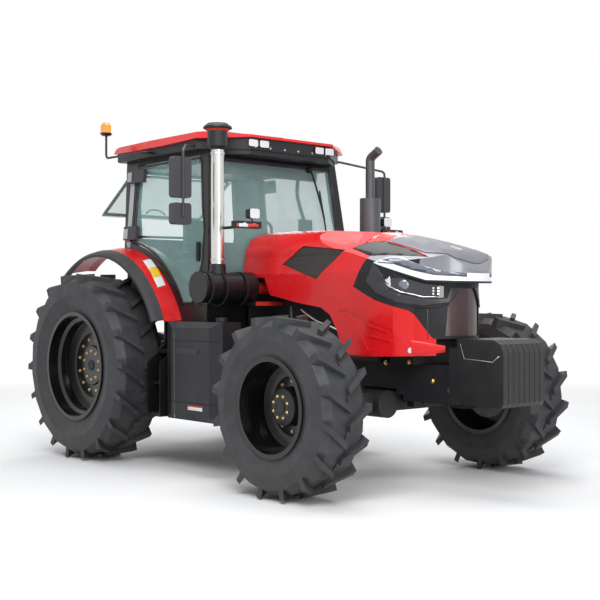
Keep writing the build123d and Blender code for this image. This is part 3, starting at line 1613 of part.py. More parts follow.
def strap(start, end, half_start, half_end, y_from, y_to):
    """A flat bar that tapers from one pivot to another, both as (x, z)."""
    run = hypot(end[0] - start[0], end[1] - start[1])
    nx = -(end[1] - start[1]) / run
    nz = (end[0] - start[0]) / run
    outline_across(
        [
            (start[0] + nx * half_start, start[1] + nz * half_start),
            (end[0] + nx * half_end, end[1] + nz * half_end),
            (end[0] - nx * half_end, end[1] - nz * half_end),
            (start[0] - nx * half_start, start[1] - nz * half_start),
        ],
        y_from,
        y_to,
    )


def across(point, y_from, y_to, radius, mode=Mode.ADD):
    """A round boss or hole along Y at a point given as (x, z)."""
    bar((point[0], y_from, point[1]), (point[0], y_to, point[1]), radius, mode=mode)


ARM_TIP = sloped(ROCKSHAFT, LIFT_REACH)
ROD_FOOT = sloped(LINK_PIN, LIFT_REACH)
LINK_END = sloped(LINK_PIN, LINK_LENGTH)

with BuildPart() as lift_arms:
    across(ROCKSHAFT, -LINK_Y - 20, LINK_Y + 20, ROCKSHAFT_R)
    for side in SIDES.values():
        near, far = side * (LINK_Y - 18), side * (LINK_Y + 18)
        across(ROCKSHAFT, near, far, 62)
        strap(ROCKSHAFT, ARM_TIP, 45, 30, near, far)
        across(ARM_TIP, near, far, 34)
        across(ARM_TIP, far, side * (LINK_Y + 64), ROD_PIN_R)
save(lift_arms.part, "lift_arms")

with BuildPart() as lower_links:
    for side in SIDES.values():
        near, far = side * (LINK_Y - LINK_W / 2), side * (LINK_Y + LINK_W / 2)
        across(LINK_PIN, near, far, 40)
        strap(LINK_PIN, LINK_END, 34, 30, near, far)
        across(LINK_END, near - side * 3, far + side * 3, BALL_R)
        across(ROD_FOOT, far, side * (LINK_Y + 64), ROD_PIN_R)
        across(LINK_PIN, near - side, far + side, LINK_PIN_R + FIT, mode=Mode.SUBTRACT)
        across(LINK_END, near - side * 4, far + side * 4, BALL_PIN_R, mode=Mode.SUBTRACT)
save(lower_links.part, "lower_links")

with BuildPart() as lift_rods:
    for side in SIDES.values():
        near = side * (LINK_Y + LINK_W / 2 + 2)
        far = side * (LINK_Y + LINK_W / 2 + 2 + ROD_W)
        middle = (near + far) / 2
        across(ARM_TIP, near, far, 34)
        across(ROD_FOOT, near, far, 34)
        bar((ARM_TIP[0], middle, ARM_TIP[1]), (ROD_FOOT[0], middle, ROD_FOOT[1]), 17)
        for point in (ARM_TIP, ROD_FOOT):
            across(point, near - side, far + side, ROD_PIN_R + FIT, mode=Mode.SUBTRACT)
save(lift_rods.part, "lift_rods")

TOP_LINK_LENGTH = 620
TOP_END = (TOP_PIN[0] - TOP_LINK_LENGTH, TOP_PIN[1] + 50)
with BuildPart() as top_link:
    half = TOP_LINK_W / 2
    across(TOP_PIN, -half, half, 32)
    across(TOP_END, -half, half, 36)
    bar((TOP_PIN[0], 0, TOP_PIN[1]), (TOP_END[0], 0, TOP_END[1]), 20)
    across(TOP_PIN, -half - 1, half + 1, TOP_PIN_R + FIT, mode=Mode.SUBTRACT)
    across(TOP_END, -half - 1, half + 1, 12.8, mode=Mode.SUBTRACT)
save(top_link.part, "top_link")

DRAWBAR_PIN = (ahead(-860), 16.5)  # x and radius of the hole
with BuildPart() as drawbar:
    block(ahead(-900), ahead(-80), -45, 45, 440, 485)
    block(ahead(-300), ahead(-200), -45, 45, 485, GEARBOX_LOW)
    x, r = DRAWBAR_PIN
    bar((x, 0, 430), (x, 0, 490), r, mode=Mode.SUBTRACT)

# ---------------------------------------------------------------------------
# The rigid backbone behind the engine: gearbox, axle housings, mounts and drawbar
# ---------------------------------------------------------------------------
with BuildPart() as transmission:
    add(gearbox.part)
    add(rear_axle.part)
    add(cab_mounts.part)
    add(drawbar.part)
save(transmission.part, "transmission")
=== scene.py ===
import json
from math import cos, pi, radians, sin

import bmesh
import bpy
from mathutils import Euler, Matrix, Vector
from mathutils.bvhtree import BVHTree


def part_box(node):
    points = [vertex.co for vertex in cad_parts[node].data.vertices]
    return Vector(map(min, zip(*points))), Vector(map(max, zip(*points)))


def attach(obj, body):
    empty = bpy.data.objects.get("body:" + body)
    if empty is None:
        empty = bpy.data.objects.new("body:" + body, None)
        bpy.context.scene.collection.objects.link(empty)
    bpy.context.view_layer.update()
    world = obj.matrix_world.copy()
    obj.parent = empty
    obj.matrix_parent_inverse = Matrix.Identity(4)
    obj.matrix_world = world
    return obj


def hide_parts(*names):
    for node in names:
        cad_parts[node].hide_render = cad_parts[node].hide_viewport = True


# Farm tractor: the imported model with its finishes, and the small parts that dress it.
# Metres, in the model's own frame: +X forward, +Y to the driver's left, +Z up from the ground.

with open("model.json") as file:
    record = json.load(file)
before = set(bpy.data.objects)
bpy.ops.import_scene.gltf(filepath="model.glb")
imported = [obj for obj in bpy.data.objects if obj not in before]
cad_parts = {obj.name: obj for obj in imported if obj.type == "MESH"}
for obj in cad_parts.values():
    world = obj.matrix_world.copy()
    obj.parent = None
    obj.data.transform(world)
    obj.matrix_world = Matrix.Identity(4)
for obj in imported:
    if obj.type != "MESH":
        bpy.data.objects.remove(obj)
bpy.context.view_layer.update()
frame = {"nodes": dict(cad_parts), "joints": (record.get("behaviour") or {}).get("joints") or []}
NODES = frame["nodes"]
JOINTS = {joint["name"]: joint for joint in frame["joints"]}
SIDES = {"right": -1, "left": 1}
FAR = 6  # a distance that lies outside the tractor, where rays start
REAR_X = JOINTS["rear_wheel_left_spin"]["pos_m"][0]


def ahead(distance):
    """X of a point that lies this many metres ahead of the rear axle."""
    return REAR_X + distance


# ---- Materials ----
NOISE_LOW, NOISE_HIGH = 0.3, 0.7  # nearly all of a noise's values lie between these
COAT_ROUGH = 0.03
GRAIN_HEIGHT = 0.002
HOLE_DEPTH = 0.004


def noise(tree, scale, detail=3.0, stretch=None):
    """A noise texture in the object's own coordinates."""
    links, nodes = tree.links, tree.nodes
    coordinates = nodes.new("ShaderNodeTexCoord")
    texture = nodes.new("ShaderNodeTexNoise")
    texture.inputs["Scale"].default_value = scale
    texture.inputs["Detail"].default_value = detail
    if stretch:
        mapping = nodes.new("ShaderNodeMapping")
        mapping.inputs["Scale"].default_value = stretch
        links.new(coordinates.outputs["Object"], mapping.inputs["Vector"])
        links.new(mapping.outputs["Vector"], texture.inputs["Vector"])
    else:
        links.new(coordinates.outputs["Object"], texture.inputs["Vector"])
    return texture.outputs["Fac"]


def spread(tree, value, low, high):
    """Maps the middle of a noise's range to low...high."""
    node = tree.nodes.new("ShaderNodeMapRange")
    node.inputs["From Min"].default_value = NOISE_LOW
    node.inputs["From Max"].default_value = NOISE_HIGH
    node.inputs["To Min"].default_value = low
    node.inputs["To Max"].default_value = high
    tree.links.new(value, node.inputs["Value"])
    return node.outputs["Result"]


def combine(tree, operation, a, b):
    """The result of a Math node."""
    node = tree.nodes.new("ShaderNodeMath")
    node.operation = operation
    tree.links.new(a, node.inputs[0])
    tree.links.new(b, node.inputs[1])
    return node.outputs["Value"]


def add_bump(tree, height, strength, distance=GRAIN_HEIGHT):
    """Tilts the shader's normal by a height, and returns the tilted normal."""
    bump = tree.nodes.new("ShaderNodeBump")
    bump.inputs["Strength"].default_value = strength
    bump.inputs["Distance"].default_value = distance
    tree.links.new(height, bump.inputs["Height"])
    tree.links.new(bump.outputs["Normal"], tree.nodes["Principled BSDF"].inputs["Normal"])
    return bump.outputs["Normal"]


def finish(
    name,
    color,
    rough,
    metal=0.0,
    coat=0.0,
    vary=0.1,
    patch=3.0,
    grain=None,
    depth=0.1,
    stretch=None,
    dust=None,
    alpha=1.0,
    glow=0.0,
    rough_vary=0.06,
    shine=0.5,
):
    """A surface whose colour and gloss wander a little, over a fine grain."""
    material = bpy.data.materials.new(name)
    material.use_nodes = True
    tree = material.node_tree
    links, nodes = tree.links, tree.nodes
    shader = nodes["Principled BSDF"]
    shader.inputs["Metallic"].default_value = metal
    shader.inputs["Coat Weight"].default_value = coat
    shader.inputs["Specular IOR Level"].default_value = shine
    shader.inputs["Coat Roughness"].default_value = COAT_ROUGH
    shader.inputs["Alpha"].default_value = alpha
    patches = noise(tree, patch, 5.0, stretch)
    mix = nodes.new("ShaderNodeMix")
    mix.data_type = "RGBA"
    mix.inputs["A"].default_value = [c * (1 - vary) for c in color] + [1]
    mix.inputs["B"].default_value = [min(1, c * (1 + vary)) for c in color] + [1]
    links.new(spread(tree, patches, 0, 1), mix.inputs["Factor"])
    colour = mix.outputs["Result"]
    if dust:
        dust_color, amount, high = dust
        place = nodes.new("ShaderNodeTexCoord")
        split = nodes.new("ShaderNodeSeparateXYZ")
        fade = nodes.new("ShaderNodeMapRange")
        fade.inputs["From Min"].default_value = high
        fade.inputs["From Max"].default_value = 0
        fade.inputs["To Max"].default_value = amount
        links.new(place.outputs["Object"], split.inputs["Vector"])
        links.new(split.outputs["Z"], fade.inputs["Value"])
        blotches = spread(tree, noise(tree, 14, 6.0), 0.2, 1)
        cover = combine(tree, "MULTIPLY", fade.outputs["Result"], blotches)
        over = nodes.new("ShaderNodeMix")
        over.data_type = "RGBA"
        over.inputs["B"].default_value = [*dust_color, 1]
        links.new(colour, over.inputs["A"])
        links.new(cover, over.inputs["Factor"])
        colour = over.outputs["Result"]
    links.new(colour, shader.inputs["Base Color"])
    if glow:
        links.new(colour, shader.inputs["Emission Color"])
        shader.inputs["Emission Strength"].default_value = glow
    smears = noise(tree, patch * 2.3, 4.0, stretch)
    gloss = spread(tree, smears, rough - rough_vary, rough + rough_vary)
    links.new(gloss, shader.inputs["Roughness"])
    if grain:
        tilted = add_bump(tree, noise(tree, grain, 2.0, stretch), depth)
        if coat:
            links.new(tilted, shader.inputs["Coat Normal"])
    return material


DUST = (0.16, 0.14, 0.12)
RED = finish("red_gloss", (0.7, 0.010, 0.013), 0.3, coat=0.22, vary=0.05, grain=90, depth=0.008, shine=0.3)
RED_PLASTIC = finish("red_plastic", (0.6, 0.03, 0.02), 0.4, vary=0.08, grain=260, depth=0.06)
FRAME_BLACK = finish(
    "black_satin", (0.007, 0.007, 0.008), 0.36, coat=0.12, grain=160, depth=0.04, shine=0.35
)
MATTE_BLACK = finish("matte_black", (0.011, 0.0112, 0.013), 0.55, grain=420, depth=0.12, shine=0.3)
MOULDED = finish(
    "moulded_black", (0.0105, 0.011, 0.0145), 0.42, grain=600, depth=0.12, vary=0.15, shine=0.4
)
MOULDED_GREY = finish("moulded_grey", (0.05, 0.05, 0.056), 0.55, grain=600, depth=0.2, shine=0.4)
SILVER_GREY = finish("silver_grey", (0.23, 0.23, 0.26), 0.34, metal=0.35, coat=0.5, grain=300, depth=0.03)
DARK_PANEL = finish("dark_panel", (0.02, 0.018, 0.02), 0.38, coat=0.1, grain=300, depth=0.02, shine=0.4)
CAST = finish(
    "cast_iron", (0.014, 0.014, 0.015), 0.55, grain=75, depth=0.35, vary=0.22,
    dust=(DUST, 0.1, 0.8), shine=0.4
)
BALLAST = finish("ballast_iron", (0.014, 0.014, 0.0155), 0.42, grain=60, depth=0.25, vary=0.15, shine=0.45)
LINK_STEEL = finish("link_steel", (0.05, 0.05, 0.054), 0.45, grain=120, depth=0.1, vary=0.2)
# Bright bare metal laid as a painted highlight along the weights' top edges
EDGE_HIGHLIGHT = finish("worn_edge", (0.5, 0.5, 0.5), 0.35, metal=1.0, grain=300, depth=0.1)
TYRE = finish(
    "tyre_rubber", (0.03, 0.031, 0.034), 0.6, grain=140, depth=0.25, vary=0.3, patch=6,
    dust=(DUST, 0.12, 0.5)
)
RUBBER = finish("rubber", (0.03, 0.03, 0.034), 0.58, grain=350, depth=0.2, vary=0.12, shine=0.4)
WHEEL = finish(
    "wheel_black", (0.004, 0.004, 0.0045), 0.2, coat=0.3, grain=200, depth=0.02, vary=0.2, shine=0.4
)
HUB_GREY = finish("hub_grey", (0.016, 0.0165, 0.018), 0.45, grain=90, depth=0.2, shine=0.4)
BRASS = finish("brass", (0.72, 0.5, 0.2), 0.32, metal=1.0, grain=300, depth=0.08)
ZINC = finish("zinc", (0.6, 0.6, 0.58), 0.35, metal=1.0, grain=300, depth=0.08)
BRASS_ROD = finish("brass_rod", (0.3, 0.24, 0.12), 0.45, metal=0.6, grain=200, depth=0.1)
STAINLESS = finish(
    "stainless", (0.66, 0.65, 0.63), 0.24, metal=1.0, vary=0.12, patch=9, grain=60, depth=0.05,
    stretch=(9, 9, 0.4)
)
STACK = finish("stack_steel", (0.085, 0.087, 0.095), 0.4, metal=0.5, vary=0.2, grain=120, depth=0.1)
CHROME_WHITE = finish(
    "white_light", (0.85, 0.87, 0.9), 0.12, coat=1.0, vary=0.03, grain=40, depth=0.02, glow=0.1
)
DARK_LENS = finish("dark_lens", (0.008, 0.009, 0.014), 0.06, coat=1.0, vary=0.2, rough_vary=0.02)
REFLECTOR = finish("reflector", (0.82, 0.83, 0.85), 0.12, metal=1.0, vary=0.06, grain=80, depth=0.1)
CLEAR_LENS = finish("clear_lens", (0.8, 0.82, 0.85), 0.1, coat=1.0, vary=0.08, grain=120, depth=0.15)
RED_LENS = finish("red_lens", (0.6, 0.02, 0.015), 0.15, coat=1.0, vary=0.1, grain=120, depth=0.1)
AMBER = finish("amber_lens", (1.0, 0.3, 0.02), 0.16, coat=1.0, vary=0.1, grain=70, depth=0.15, glow=0.25)
GLASS = finish("tinted_glass", (0.42, 0.70, 0.67), 0.03, vary=0.05, patch=1.2, rough_vary=0.01, alpha=0.26)
MIRROR_GLASS = finish("mirror_glass", (0.75, 0.77, 0.78), 0.05, metal=1.0, vary=0.03, rough_vary=0.02)
LABEL_WHITE = finish("label_white", (0.82, 0.82, 0.8), 0.4, vary=0.03, grain=300, depth=0.03)
LABEL_YELLOW = finish("label_yellow", (0.85, 0.6, 0.03), 0.4, vary=0.04, grain=300, depth=0.03)
PANEL_GREY = finish("panel_grey", (0.16, 0.16, 0.19), 0.42, metal=0.2, coat=0.25, grain=400, depth=0.04)
SMOKED = finish("smoked_lens", (0.17, 0.18, 0.23), 0.15, metal=0.4, coat=1.0, grain=60, depth=0.08)
BEZEL_GREY = finish("bezel_grey", (0.03, 0.03, 0.034), 0.4, coat=0.1, grain=300, depth=0.08, shine=0.4)
PILLAR_GREY = finish("pillar_grey", (0.42, 0.45, 0.45), 0.4, metal=0.3, grain=200, depth=0.05)
# Dark grille front; its red tint is a painted reflection, not the grille's own colour
GRILLE_RED_REFLECTION = finish(
    "grille_dark_red", (0.035, 0.007, 0.01), 0.4, coat=0.3, vary=0.3, patch=5, grain=200, depth=0.1
)


def woven(name, color, pitch):
    """Seat fabric with a visible weave."""
    material = finish(name, color, 0.9, vary=0.15, patch=20)
    tree = material.node_tree
    links, nodes = tree.links, tree.nodes
    nodes["Principled BSDF"].inputs["Sheen Weight"].default_value = 0.4
    place = nodes.new("ShaderNodeTexCoord")
    waves = []
    for direction in ("X", "Y"):
        wave = nodes.new("ShaderNodeTexWave")
        wave.bands_direction = direction
        wave.inputs["Scale"].default_value = pitch
        wave.inputs["Distortion"].default_value = 0.6
        links.new(place.outputs["Object"], wave.inputs["Vector"])
        waves.append(wave.outputs["Fac"])
    add_bump(tree, combine(tree, "MULTIPLY", *waves), 0.5)
    return material


def perforated(name, color, pitch):
    """Dark sheet with rows of fine holes."""
    material = finish(name, color, 0.5, vary=0.15, patch=6)
    tree = material.node_tree
    place = tree.nodes.new("ShaderNodeTexCoord")
    cells = tree.nodes.new("ShaderNodeTexVoronoi")
    cells.inputs["Scale"].default_value = pitch
    cells.inputs["Randomness"].default_value = 0.0
    tree.links.new(place.outputs["Object"], cells.inputs["Vector"])
    add_bump(tree, cells.outputs["Distance"], 0.9, HOLE_DEPTH)
    return material


FABRIC = woven("seat_fabric", (0.035, 0.035, 0.04), 90)
MESH = perforated("air_mesh", (0.03, 0.024, 0.024), 110)


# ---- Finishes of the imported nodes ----
def paint(material, *names):
    """Gives whole nodes one material."""
    for name in names:
        data = NODES[name].data
        data.materials.clear()
        data.materials.append(material)


def paint_faces(name, base, *rules):
    """Paints a node, then the faces whose centre passes a rule's test, in turn."""
    paint(base, name)
    data = NODES[name].data
    for material, test in rules:
        data.materials.append(material)
        index = len(data.materials) - 1
        for face in data.polygons:
            if test(face.center, face.normal):
                face.material_index = index


def side_pair(name):
    """Names of the right and the left node of a pair."""
    return [f"{name}_{side}" for side in SIDES]


paint(RED, "hood_shell", "fenders", "roof")
paint(MATTE_BLACK, "front_frame")
paint(MOULDED, "roof_lining", "tanks")
paint(FRAME_BLACK, "cab_frame", "steps")
COVER_FRONT, COVER_INNER = ahead(0.36), 0.775  # the grey covers at the rear of the doors
for door in side_pair("door"):
    covers = (MOULDED_GREY, lambda c, n: c.x < COVER_FRONT and abs(c.y) > COVER_INNER)
    paint_faces(door, FRAME_BLACK, covers)
paint(CAST, "engine", "transmission", "front_axle", "tie_rod", *side_pair("knuckle"))
paint(LINK_STEEL, "lift_arms", "lift_rods", "lower_links", "top_link")
paint(BALLAST, "front_weights")
paint(TYRE, *side_pair("front_tyre"), *side_pair("rear_tyre"))
paint(WHEEL, *side_pair("rear_wheel"))
paint(RUBBER, "flares")
paint(STACK, "exhaust")
paint(GLASS, "windshield", *side_pair("door_glass"))

hub_x, _, hub_z = JOINTS["front_wheel_right_spin"]["pos_m"]
HUB_RADIUS = 0.145  # the cast middle of a front wheel
for node in side_pair("front_wheel"):
    paint_faces(
        node,
        WHEEL,
        (HUB_GREY, lambda c, n: (c.x - hub_x) ** 2 + (c.z - hub_z) ** 2 < HUB_RADIUS**2),
    )

# The white strip lies above the dark lens, which reaches higher at its rear end
STRIP_Z, STRIP_REAR_Z, STRIP_REAR_X = 1.64, 1.67, ahead(3.3)
paint_faces(
    "headlights",
    CHROME_WHITE,
    (DARK_LENS, lambda c, n: c.z < STRIP_Z or (c.z < STRIP_REAR_Z and c.x < STRIP_REAR_X)),
)
# The grille's front faces are dark, tinted red as a painted reflection; the rest is the perforated mesh
GRILLE_FRONT = ahead(3.4)
paint_faces("hood_grilles", MESH, (GRILLE_RED_REFLECTION, lambda c, n: c.x > GRILLE_FRONT))
# The grey crown: what faces up, and the nose
CROWN_Z, CROWN_FRONT = 1.66, ahead(3.45)
paint_faces(
    "hood_mask",
    MATTE_BLACK,
    (SILVER_GREY, lambda c, n: c.z > CROWN_Z and (n.z > 0.25 or c.x > CROWN_FRONT)),
)

# The intake's cap with its red ring, both measured down from the top
cap_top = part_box("precleaner")[1].z
CAP_HEIGHT, RING_LOW, RING_HIGH = 0.234, 0.086, 0.058
paint_faces(
    "precleaner",
    STAINLESS,
    (MOULDED, lambda c, n: c.z > cap_top - CAP_HEIGHT),
    (RED_PLASTIC, lambda c, n: cap_top - RING_LOW < c.z < cap_top - RING_HIGH),
)
CLEANER_CAP_Y = -0.512
paint_faces("air_cleaner", FRAME_BLACK, (RED_PLASTIC, lambda c, n: c.y > CLEANER_CAP_Y))
dome_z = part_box("beacon")[1].z - 0.1
paint_faces("beacon", MOULDED, (AMBER, lambda c, n: c.z > dome_z and n.z > -0.5))
LAMP_Z = 2.15  # the work lamps stand above their bars from here
paint_faces("work_lamps", MOULDED, (CLEAR_LENS, lambda c, n: n.x > 0.9 and c.z > LAMP_Z))
paint(MOULDED_GREY, "mirrors")
HINGE_Z, HINGE_HALF = 2.72, 0.6  # the dark upper edge of the window
paint_faces("rear_window", GLASS, (FRAME_BLACK, lambda c, n: abs(c.y) < HINGE_HALF and c.z > HINGE_Z))
STEERING_RIM_X = ahead(1.12)
paint_faces("steering", MOULDED, (MATTE_BLACK, lambda c, n: c.x < STEERING_RIM_X))
paint(FABRIC, "seat")

# ---- Camera, floor and light ----
scene = bpy.context.scene
camera = bpy.data.objects.new("camera", bpy.data.cameras.new("camera"))
camera.location = (7.639, -6.553, 1.481)
camera.rotation_euler = Euler((pi / 2, 0, 0.852))
camera.data.lens = 66.28
camera.data.sensor_width = 36
scene.collection.objects.link(camera)
scene.camera = camera
scene.view_settings.view_transform = "Standard"

world = bpy.data.worlds.new("studio")
world.use_nodes = True
scene.world = world
tree = world.node_tree
background = tree.nodes["Background"]
backdrop = tree.nodes.new("ShaderNodeBackground")
backdrop.inputs["Color"].default_value = (1, 1, 1, 1)
backdrop.inputs["Strength"].default_value = 1.0
background.inputs["Color"].default_value = (0.93, 0.96, 1.0, 1)
background.inputs["Strength"].default_value = 0.42
light_path = tree.nodes.new("ShaderNodeLightPath")
choose = tree.nodes.new("ShaderNodeMixShader")
white = light_path.outputs["Is Camera Ray"]  # the rays that see the plain white backdrop
for ray in ("Is Transmission Ray", "Is Glossy Ray"):
    white = combine(tree, "MAXIMUM", white, light_path.outputs[ray])
tree.links.new(white, choose.inputs["Fac"])
tree.links.new(background.outputs["Background"], choose.inputs[1])
tree.links.new(backdrop.outputs["Background"], choose.inputs[2])
tree.links.new(choose.outputs["Shader"], tree.nodes["World Output"].inputs["Surface"])

FLOOR_HALF = 16.0
FADE_START, FADE_END = 4.0, 11.0  # the floor fades out between these distances
floor_mesh = bpy.data.meshes.new("floor")
corners = [(-FLOOR_HALF, -FLOOR_HALF, 0), (FLOOR_HALF, -FLOOR_HALF, 0)]
corners += [(FLOOR_HALF, FLOOR_HALF, 0), (-FLOOR_HALF, FLOOR_HALF, 0)]
floor_mesh.from_pydata(corners, [], [(0, 1, 2, 3)])
floor = bpy.data.objects.new("floor", floor_mesh)
scene.collection.objects.link(floor)
floor_finish = finish("floor_white", (0.93, 0.93, 0.93), 0.85, vary=0.01, patch=0.6)
tree = floor_finish.node_tree
place = tree.nodes.new("ShaderNodeTexCoord")
length = tree.nodes.new("ShaderNodeVectorMath")
length.operation = "LENGTH"
fade = tree.nodes.new("ShaderNodeMapRange")
fade.inputs["From Min"].default_value = FADE_START
fade.inputs["From Max"].default_value = FADE_END
fade.inputs["To Min"].default_value = 1.0
fade.inputs["To Max"].default_value = 0.0
tree.links.new(place.outputs["Object"], length.inputs[0])
tree.links.new(length.outputs["Value"], fade.inputs["Value"])
tree.links.new(fade.outputs["Result"], tree.nodes["Principled BSDF"].inputs["Alpha"])
floor_mesh.materials.append(floor_finish)


def soft_light(name, place, target, size, power):
    """An area light that looks at a target."""
    data = bpy.data.lights.new(name, "AREA")
    data.shape = "RECTANGLE"
    data.size, data.size_y = size
    data.energy = power
    light = bpy.data.objects.new(name, data)
    light.location = place
    light.rotation_euler = (Vector(target) - Vector(place)).to_track_quat("-Z", "Y").to_euler()
    scene.collection.objects.link(light)


soft_light("key", (5.5, -6.0, 7.5), (0, 0, 1.2), (5, 4), 520)
soft_light("top", (0, 0, 8.5), (0, 0, 1), (8, 5), 330)
soft_light("rear_side", (-6, 5, 5), (0, 0, 1.2), (4, 4), 260)
soft_light("low_front", (8, -2.5, 2.0), (0.5, -0.5, 1.0), (3, 3), 120)

# ---- Ways of making pieces ----
SHARP = radians(38)
BEVEL_OVER = radians(40)


def add_edge(piece, width):
    """A narrow bevel along a piece's sharp edges."""
    edge = piece.modifiers.new("edge", "BEVEL")
    edge.width = width
    edge.segments = 2
    edge.limit_method = "ANGLE"
    return edge


def place_mesh(name, mesh, material, body, bevel=0.0):
    """Links a finished mesh as a piece that rides on a body."""
    mesh.materials.append(material)
    for face in mesh.polygons:
        face.use_smooth = True
    mesh.set_sharp_from_angle(angle=SHARP)
    piece = bpy.data.objects.new(name, mesh)
    scene.collection.objects.link(piece)
    if bevel:
        add_edge(piece, bevel).angle_limit = BEVEL_OVER
    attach(piece, body)
    return piece


def place_bm(name, bm, material, body, bevel=0.0):
    """Turns an edited mesh into a piece that rides on a body."""
    mesh = bpy.data.meshes.new(name)
    bmesh.ops.recalc_face_normals(bm, faces=bm.faces)
    bm.to_mesh(mesh)
    bm.free()
    return place_mesh(name, mesh, material, body, bevel)


def add_box(bm, low, high):
    """A box between two corners."""
    middle = (Vector(low) + Vector(high)) / 2
    size = [abs(b - a) for a, b in zip(low, high)]
    matrix = Matrix.Translation(middle) @ Matrix.Diagonal((*size, 1))
    bmesh.ops.create_cube(bm, size=1, matrix=matrix)


def aim(direction):
    """Rotation that turns +Z towards a direction."""
    return Vector(direction).to_track_quat("Z", "Y").to_matrix().to_4x4()


def add_turned(bm, origin, direction, profile, segments=32):
    """Turns a profile of (radius, height) points about an axis."""
    matrix = Matrix.Translation(Vector(origin)) @ aim(direction)
    rings = []
    for radius, height in profile:
        if radius < 1e-6:
            rings.append([bm.verts.new(matrix @ Vector((0, 0, height)))])
            continue
        ring = []
        for i in range(segments):
            turn = 2 * pi * i / segments
            point = Vector((radius * cos(turn), radius * sin(turn), height))
            ring.append(bm.verts.new(matrix @ point))
        rings.append(ring)
    for a, b in zip(rings, rings[1:]):
        for i in range(segments):
            j = (i + 1) % segments
            if len(a) == 1:
                bm.faces.new((a[0], b[j], b[i]))
            elif len(b) == 1:
                bm.faces.new((a[i], a[j], b[0]))
            else:
                bm.faces.new((a[i], a[j], b[j], b[i]))


def add_bolt(bm, origin, direction, size):
    """A hexagon head on a washer."""
    washer = [(0, 0), (size * 1.25, 0), (size * 1.25, size * 0.18), (size * 0.9, size * 0.2)]
    add_turned(bm, origin, direction, washer, 20)
    head = [(size * 0.95, size * 0.15), (size * 0.95, size * 0.75)]
    head += [(size * 0.75, size * 0.9), (0, size * 0.9)]
    add_turned(bm, origin, direction, head, 6)


def place_box(name, low, high, material, bevel, body="chassis"):
    """A piece that is one box."""
    bm = bmesh.new()
    add_box(bm, low, high)
    place_bm(name, bm, material, body, bevel)


def place_turned(name, origin, direction, profile, segments, material, body, bevel=0.0):
    """A piece that is one turned profile."""
    bm = bmesh.new()
    add_turned(bm, origin, direction, profile, segments)
    place_bm(name, bm, material, body, bevel)


def tube(name, points, radius, material, body="chassis", order=3):
    """A smooth rod along a few points."""
    curve = bpy.data.curves.new(name, "CURVE")
    curve.dimensions = "3D"
    curve.bevel_depth = radius
    curve.bevel_resolution = 5
    curve.resolution_u = 12
    curve.use_fill_caps = True
    spline = curve.splines.new("NURBS")
    spline.points.add(len(points) - 1)
    for spot, point in zip(spline.points, points):
        spot.co = (*point, 1)
    spline.use_endpoint_u = True
    spline.order_u = order
    curve.materials.append(material)
    piece = bpy.data.objects.new(name, curve)
    scene.collection.objects.link(piece)
    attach(piece, body)
    return piece


def surface_of(*names):
    """A tree of the named CAD nodes' faces, for rays to meet."""
    points, faces = [], []
    for name in names:
        data = NODES[name].data
        start = len(points)
        points += [v.co.copy() for v in data.vertices]
        faces += [[start + i for i in face.vertices] for face in data.polygons]
    return BVHTree.FromPolygons(points, faces)


VIEWS = {  # name of a view: (axis to look along, how a 2-D point stands in space)
    "top": (Vector((0, 0, -1)), lambda u, v: Vector((u, v, FAR))),
    "right": (Vector((0, 1, 0)), lambda u, v: Vector((u, -FAR, v))),
    "left": (Vector((0, -1, 0)), lambda u, v: Vector((u, FAR, v))),
    "front": (Vector((-1, 0, 0)), lambda u, v: Vector((FAR, u, v))),
    "rear": (Vector((1, 0, 0)), lambda u, v: Vector((-FAR, u, v))),
}


def met(surface, view, u, v):
    """Point and normal where a surface is first met in one view."""
    axis, stand = VIEWS[view]
    spot, normal, _, _ = surface.ray_cast(stand(u, v), axis)
    return spot, normal


def off(surface, view, u, v, out=0.0):
    """The point met in one view, moved off the surface along its normal."""
    spot, normal = met(surface, view, u, v)
    return spot + normal * out


def laid(name, outline, view, on, material, body, slot, lift=0.001, thick=0.002, step=0.03, bevel=0.0):
    """Thin trim cut to an outline seen in one view, and laid on a surface."""
    axis, stand = VIEWS[view]
    bm = bmesh.new()
    bm.faces.new([bm.verts.new(stand(u, v)) for u, v in outline])
    bmesh.ops.triangulate(bm, faces=bm.faces[:], ngon_method="EAR_CLIP")
    for k in range(2):
        low = min(point[k] for point in outline)
        high = max(point[k] for point in outline)
        normal = stand(1, 0) - stand(0, 0) if k == 0 else stand(0, 1) - stand(0, 0)
        cuts = int((high - low) / step)
        for i in range(1, cuts + 1):
            value = low + (high - low) * i / (cuts + 1)
            at = stand(value, 0) if k == 0 else stand(0, value)
            geometry = bm.verts[:] + bm.edges[:] + bm.faces[:]
            bmesh.ops.bisect_plane(bm, geom=geometry, plane_co=at, plane_no=normal)
    missed = []
    for vertex in bm.verts:
        place, face_normal, _, _ = on.ray_cast(vertex.co, axis)
        if place is None:
            missed.append(vertex)
        else:
            vertex.co = place + face_normal * lift
    bmesh.ops.delete(bm, geom=missed, context="VERTS")
    bmesh.ops.recalc_face_normals(bm, faces=bm.faces)
    total = Vector((0, 0, 0))
    for face in bm.faces:
        total += face.normal * face.calc_area()
    if total.dot(axis) > 0:
        bmesh.ops.reverse_faces(bm, faces=bm.faces)
    mesh = bpy.data.meshes.new(name)
    bm.to_mesh(mesh)
    bm.free()
    piece = place_mesh(name, mesh, material, body)
    shell = piece.modifiers.new("thickness", "SOLIDIFY")
    shell.thickness = thick
    shell.offset = 1
    if bevel:
        add_edge(piece, bevel)
    return piece


def band(points, width):
    """Outline of a band of one width along a line of 2-D points."""
    left, right = [], []
    for i, point in enumerate(points):
        before = Vector(points[max(i - 1, 0)])
        after = Vector(points[min(i + 1, len(points) - 1)])
        along = (after - before).normalized()
        across = Vector((-along.y, along.x)) * width / 2
        left.append(Vector(point) + across)
        right.append(Vector(point) - across)
    return [tuple(p) for p in left] + [tuple(p) for p in reversed(right)]


def oval(u, v, wide, high, count=24):
    """Outline of an ellipse, from its centre and half sizes."""
    turns = [2 * pi * i / count for i in range(count)]
    return [(u + wide * cos(turn), v + high * sin(turn)) for turn in turns]


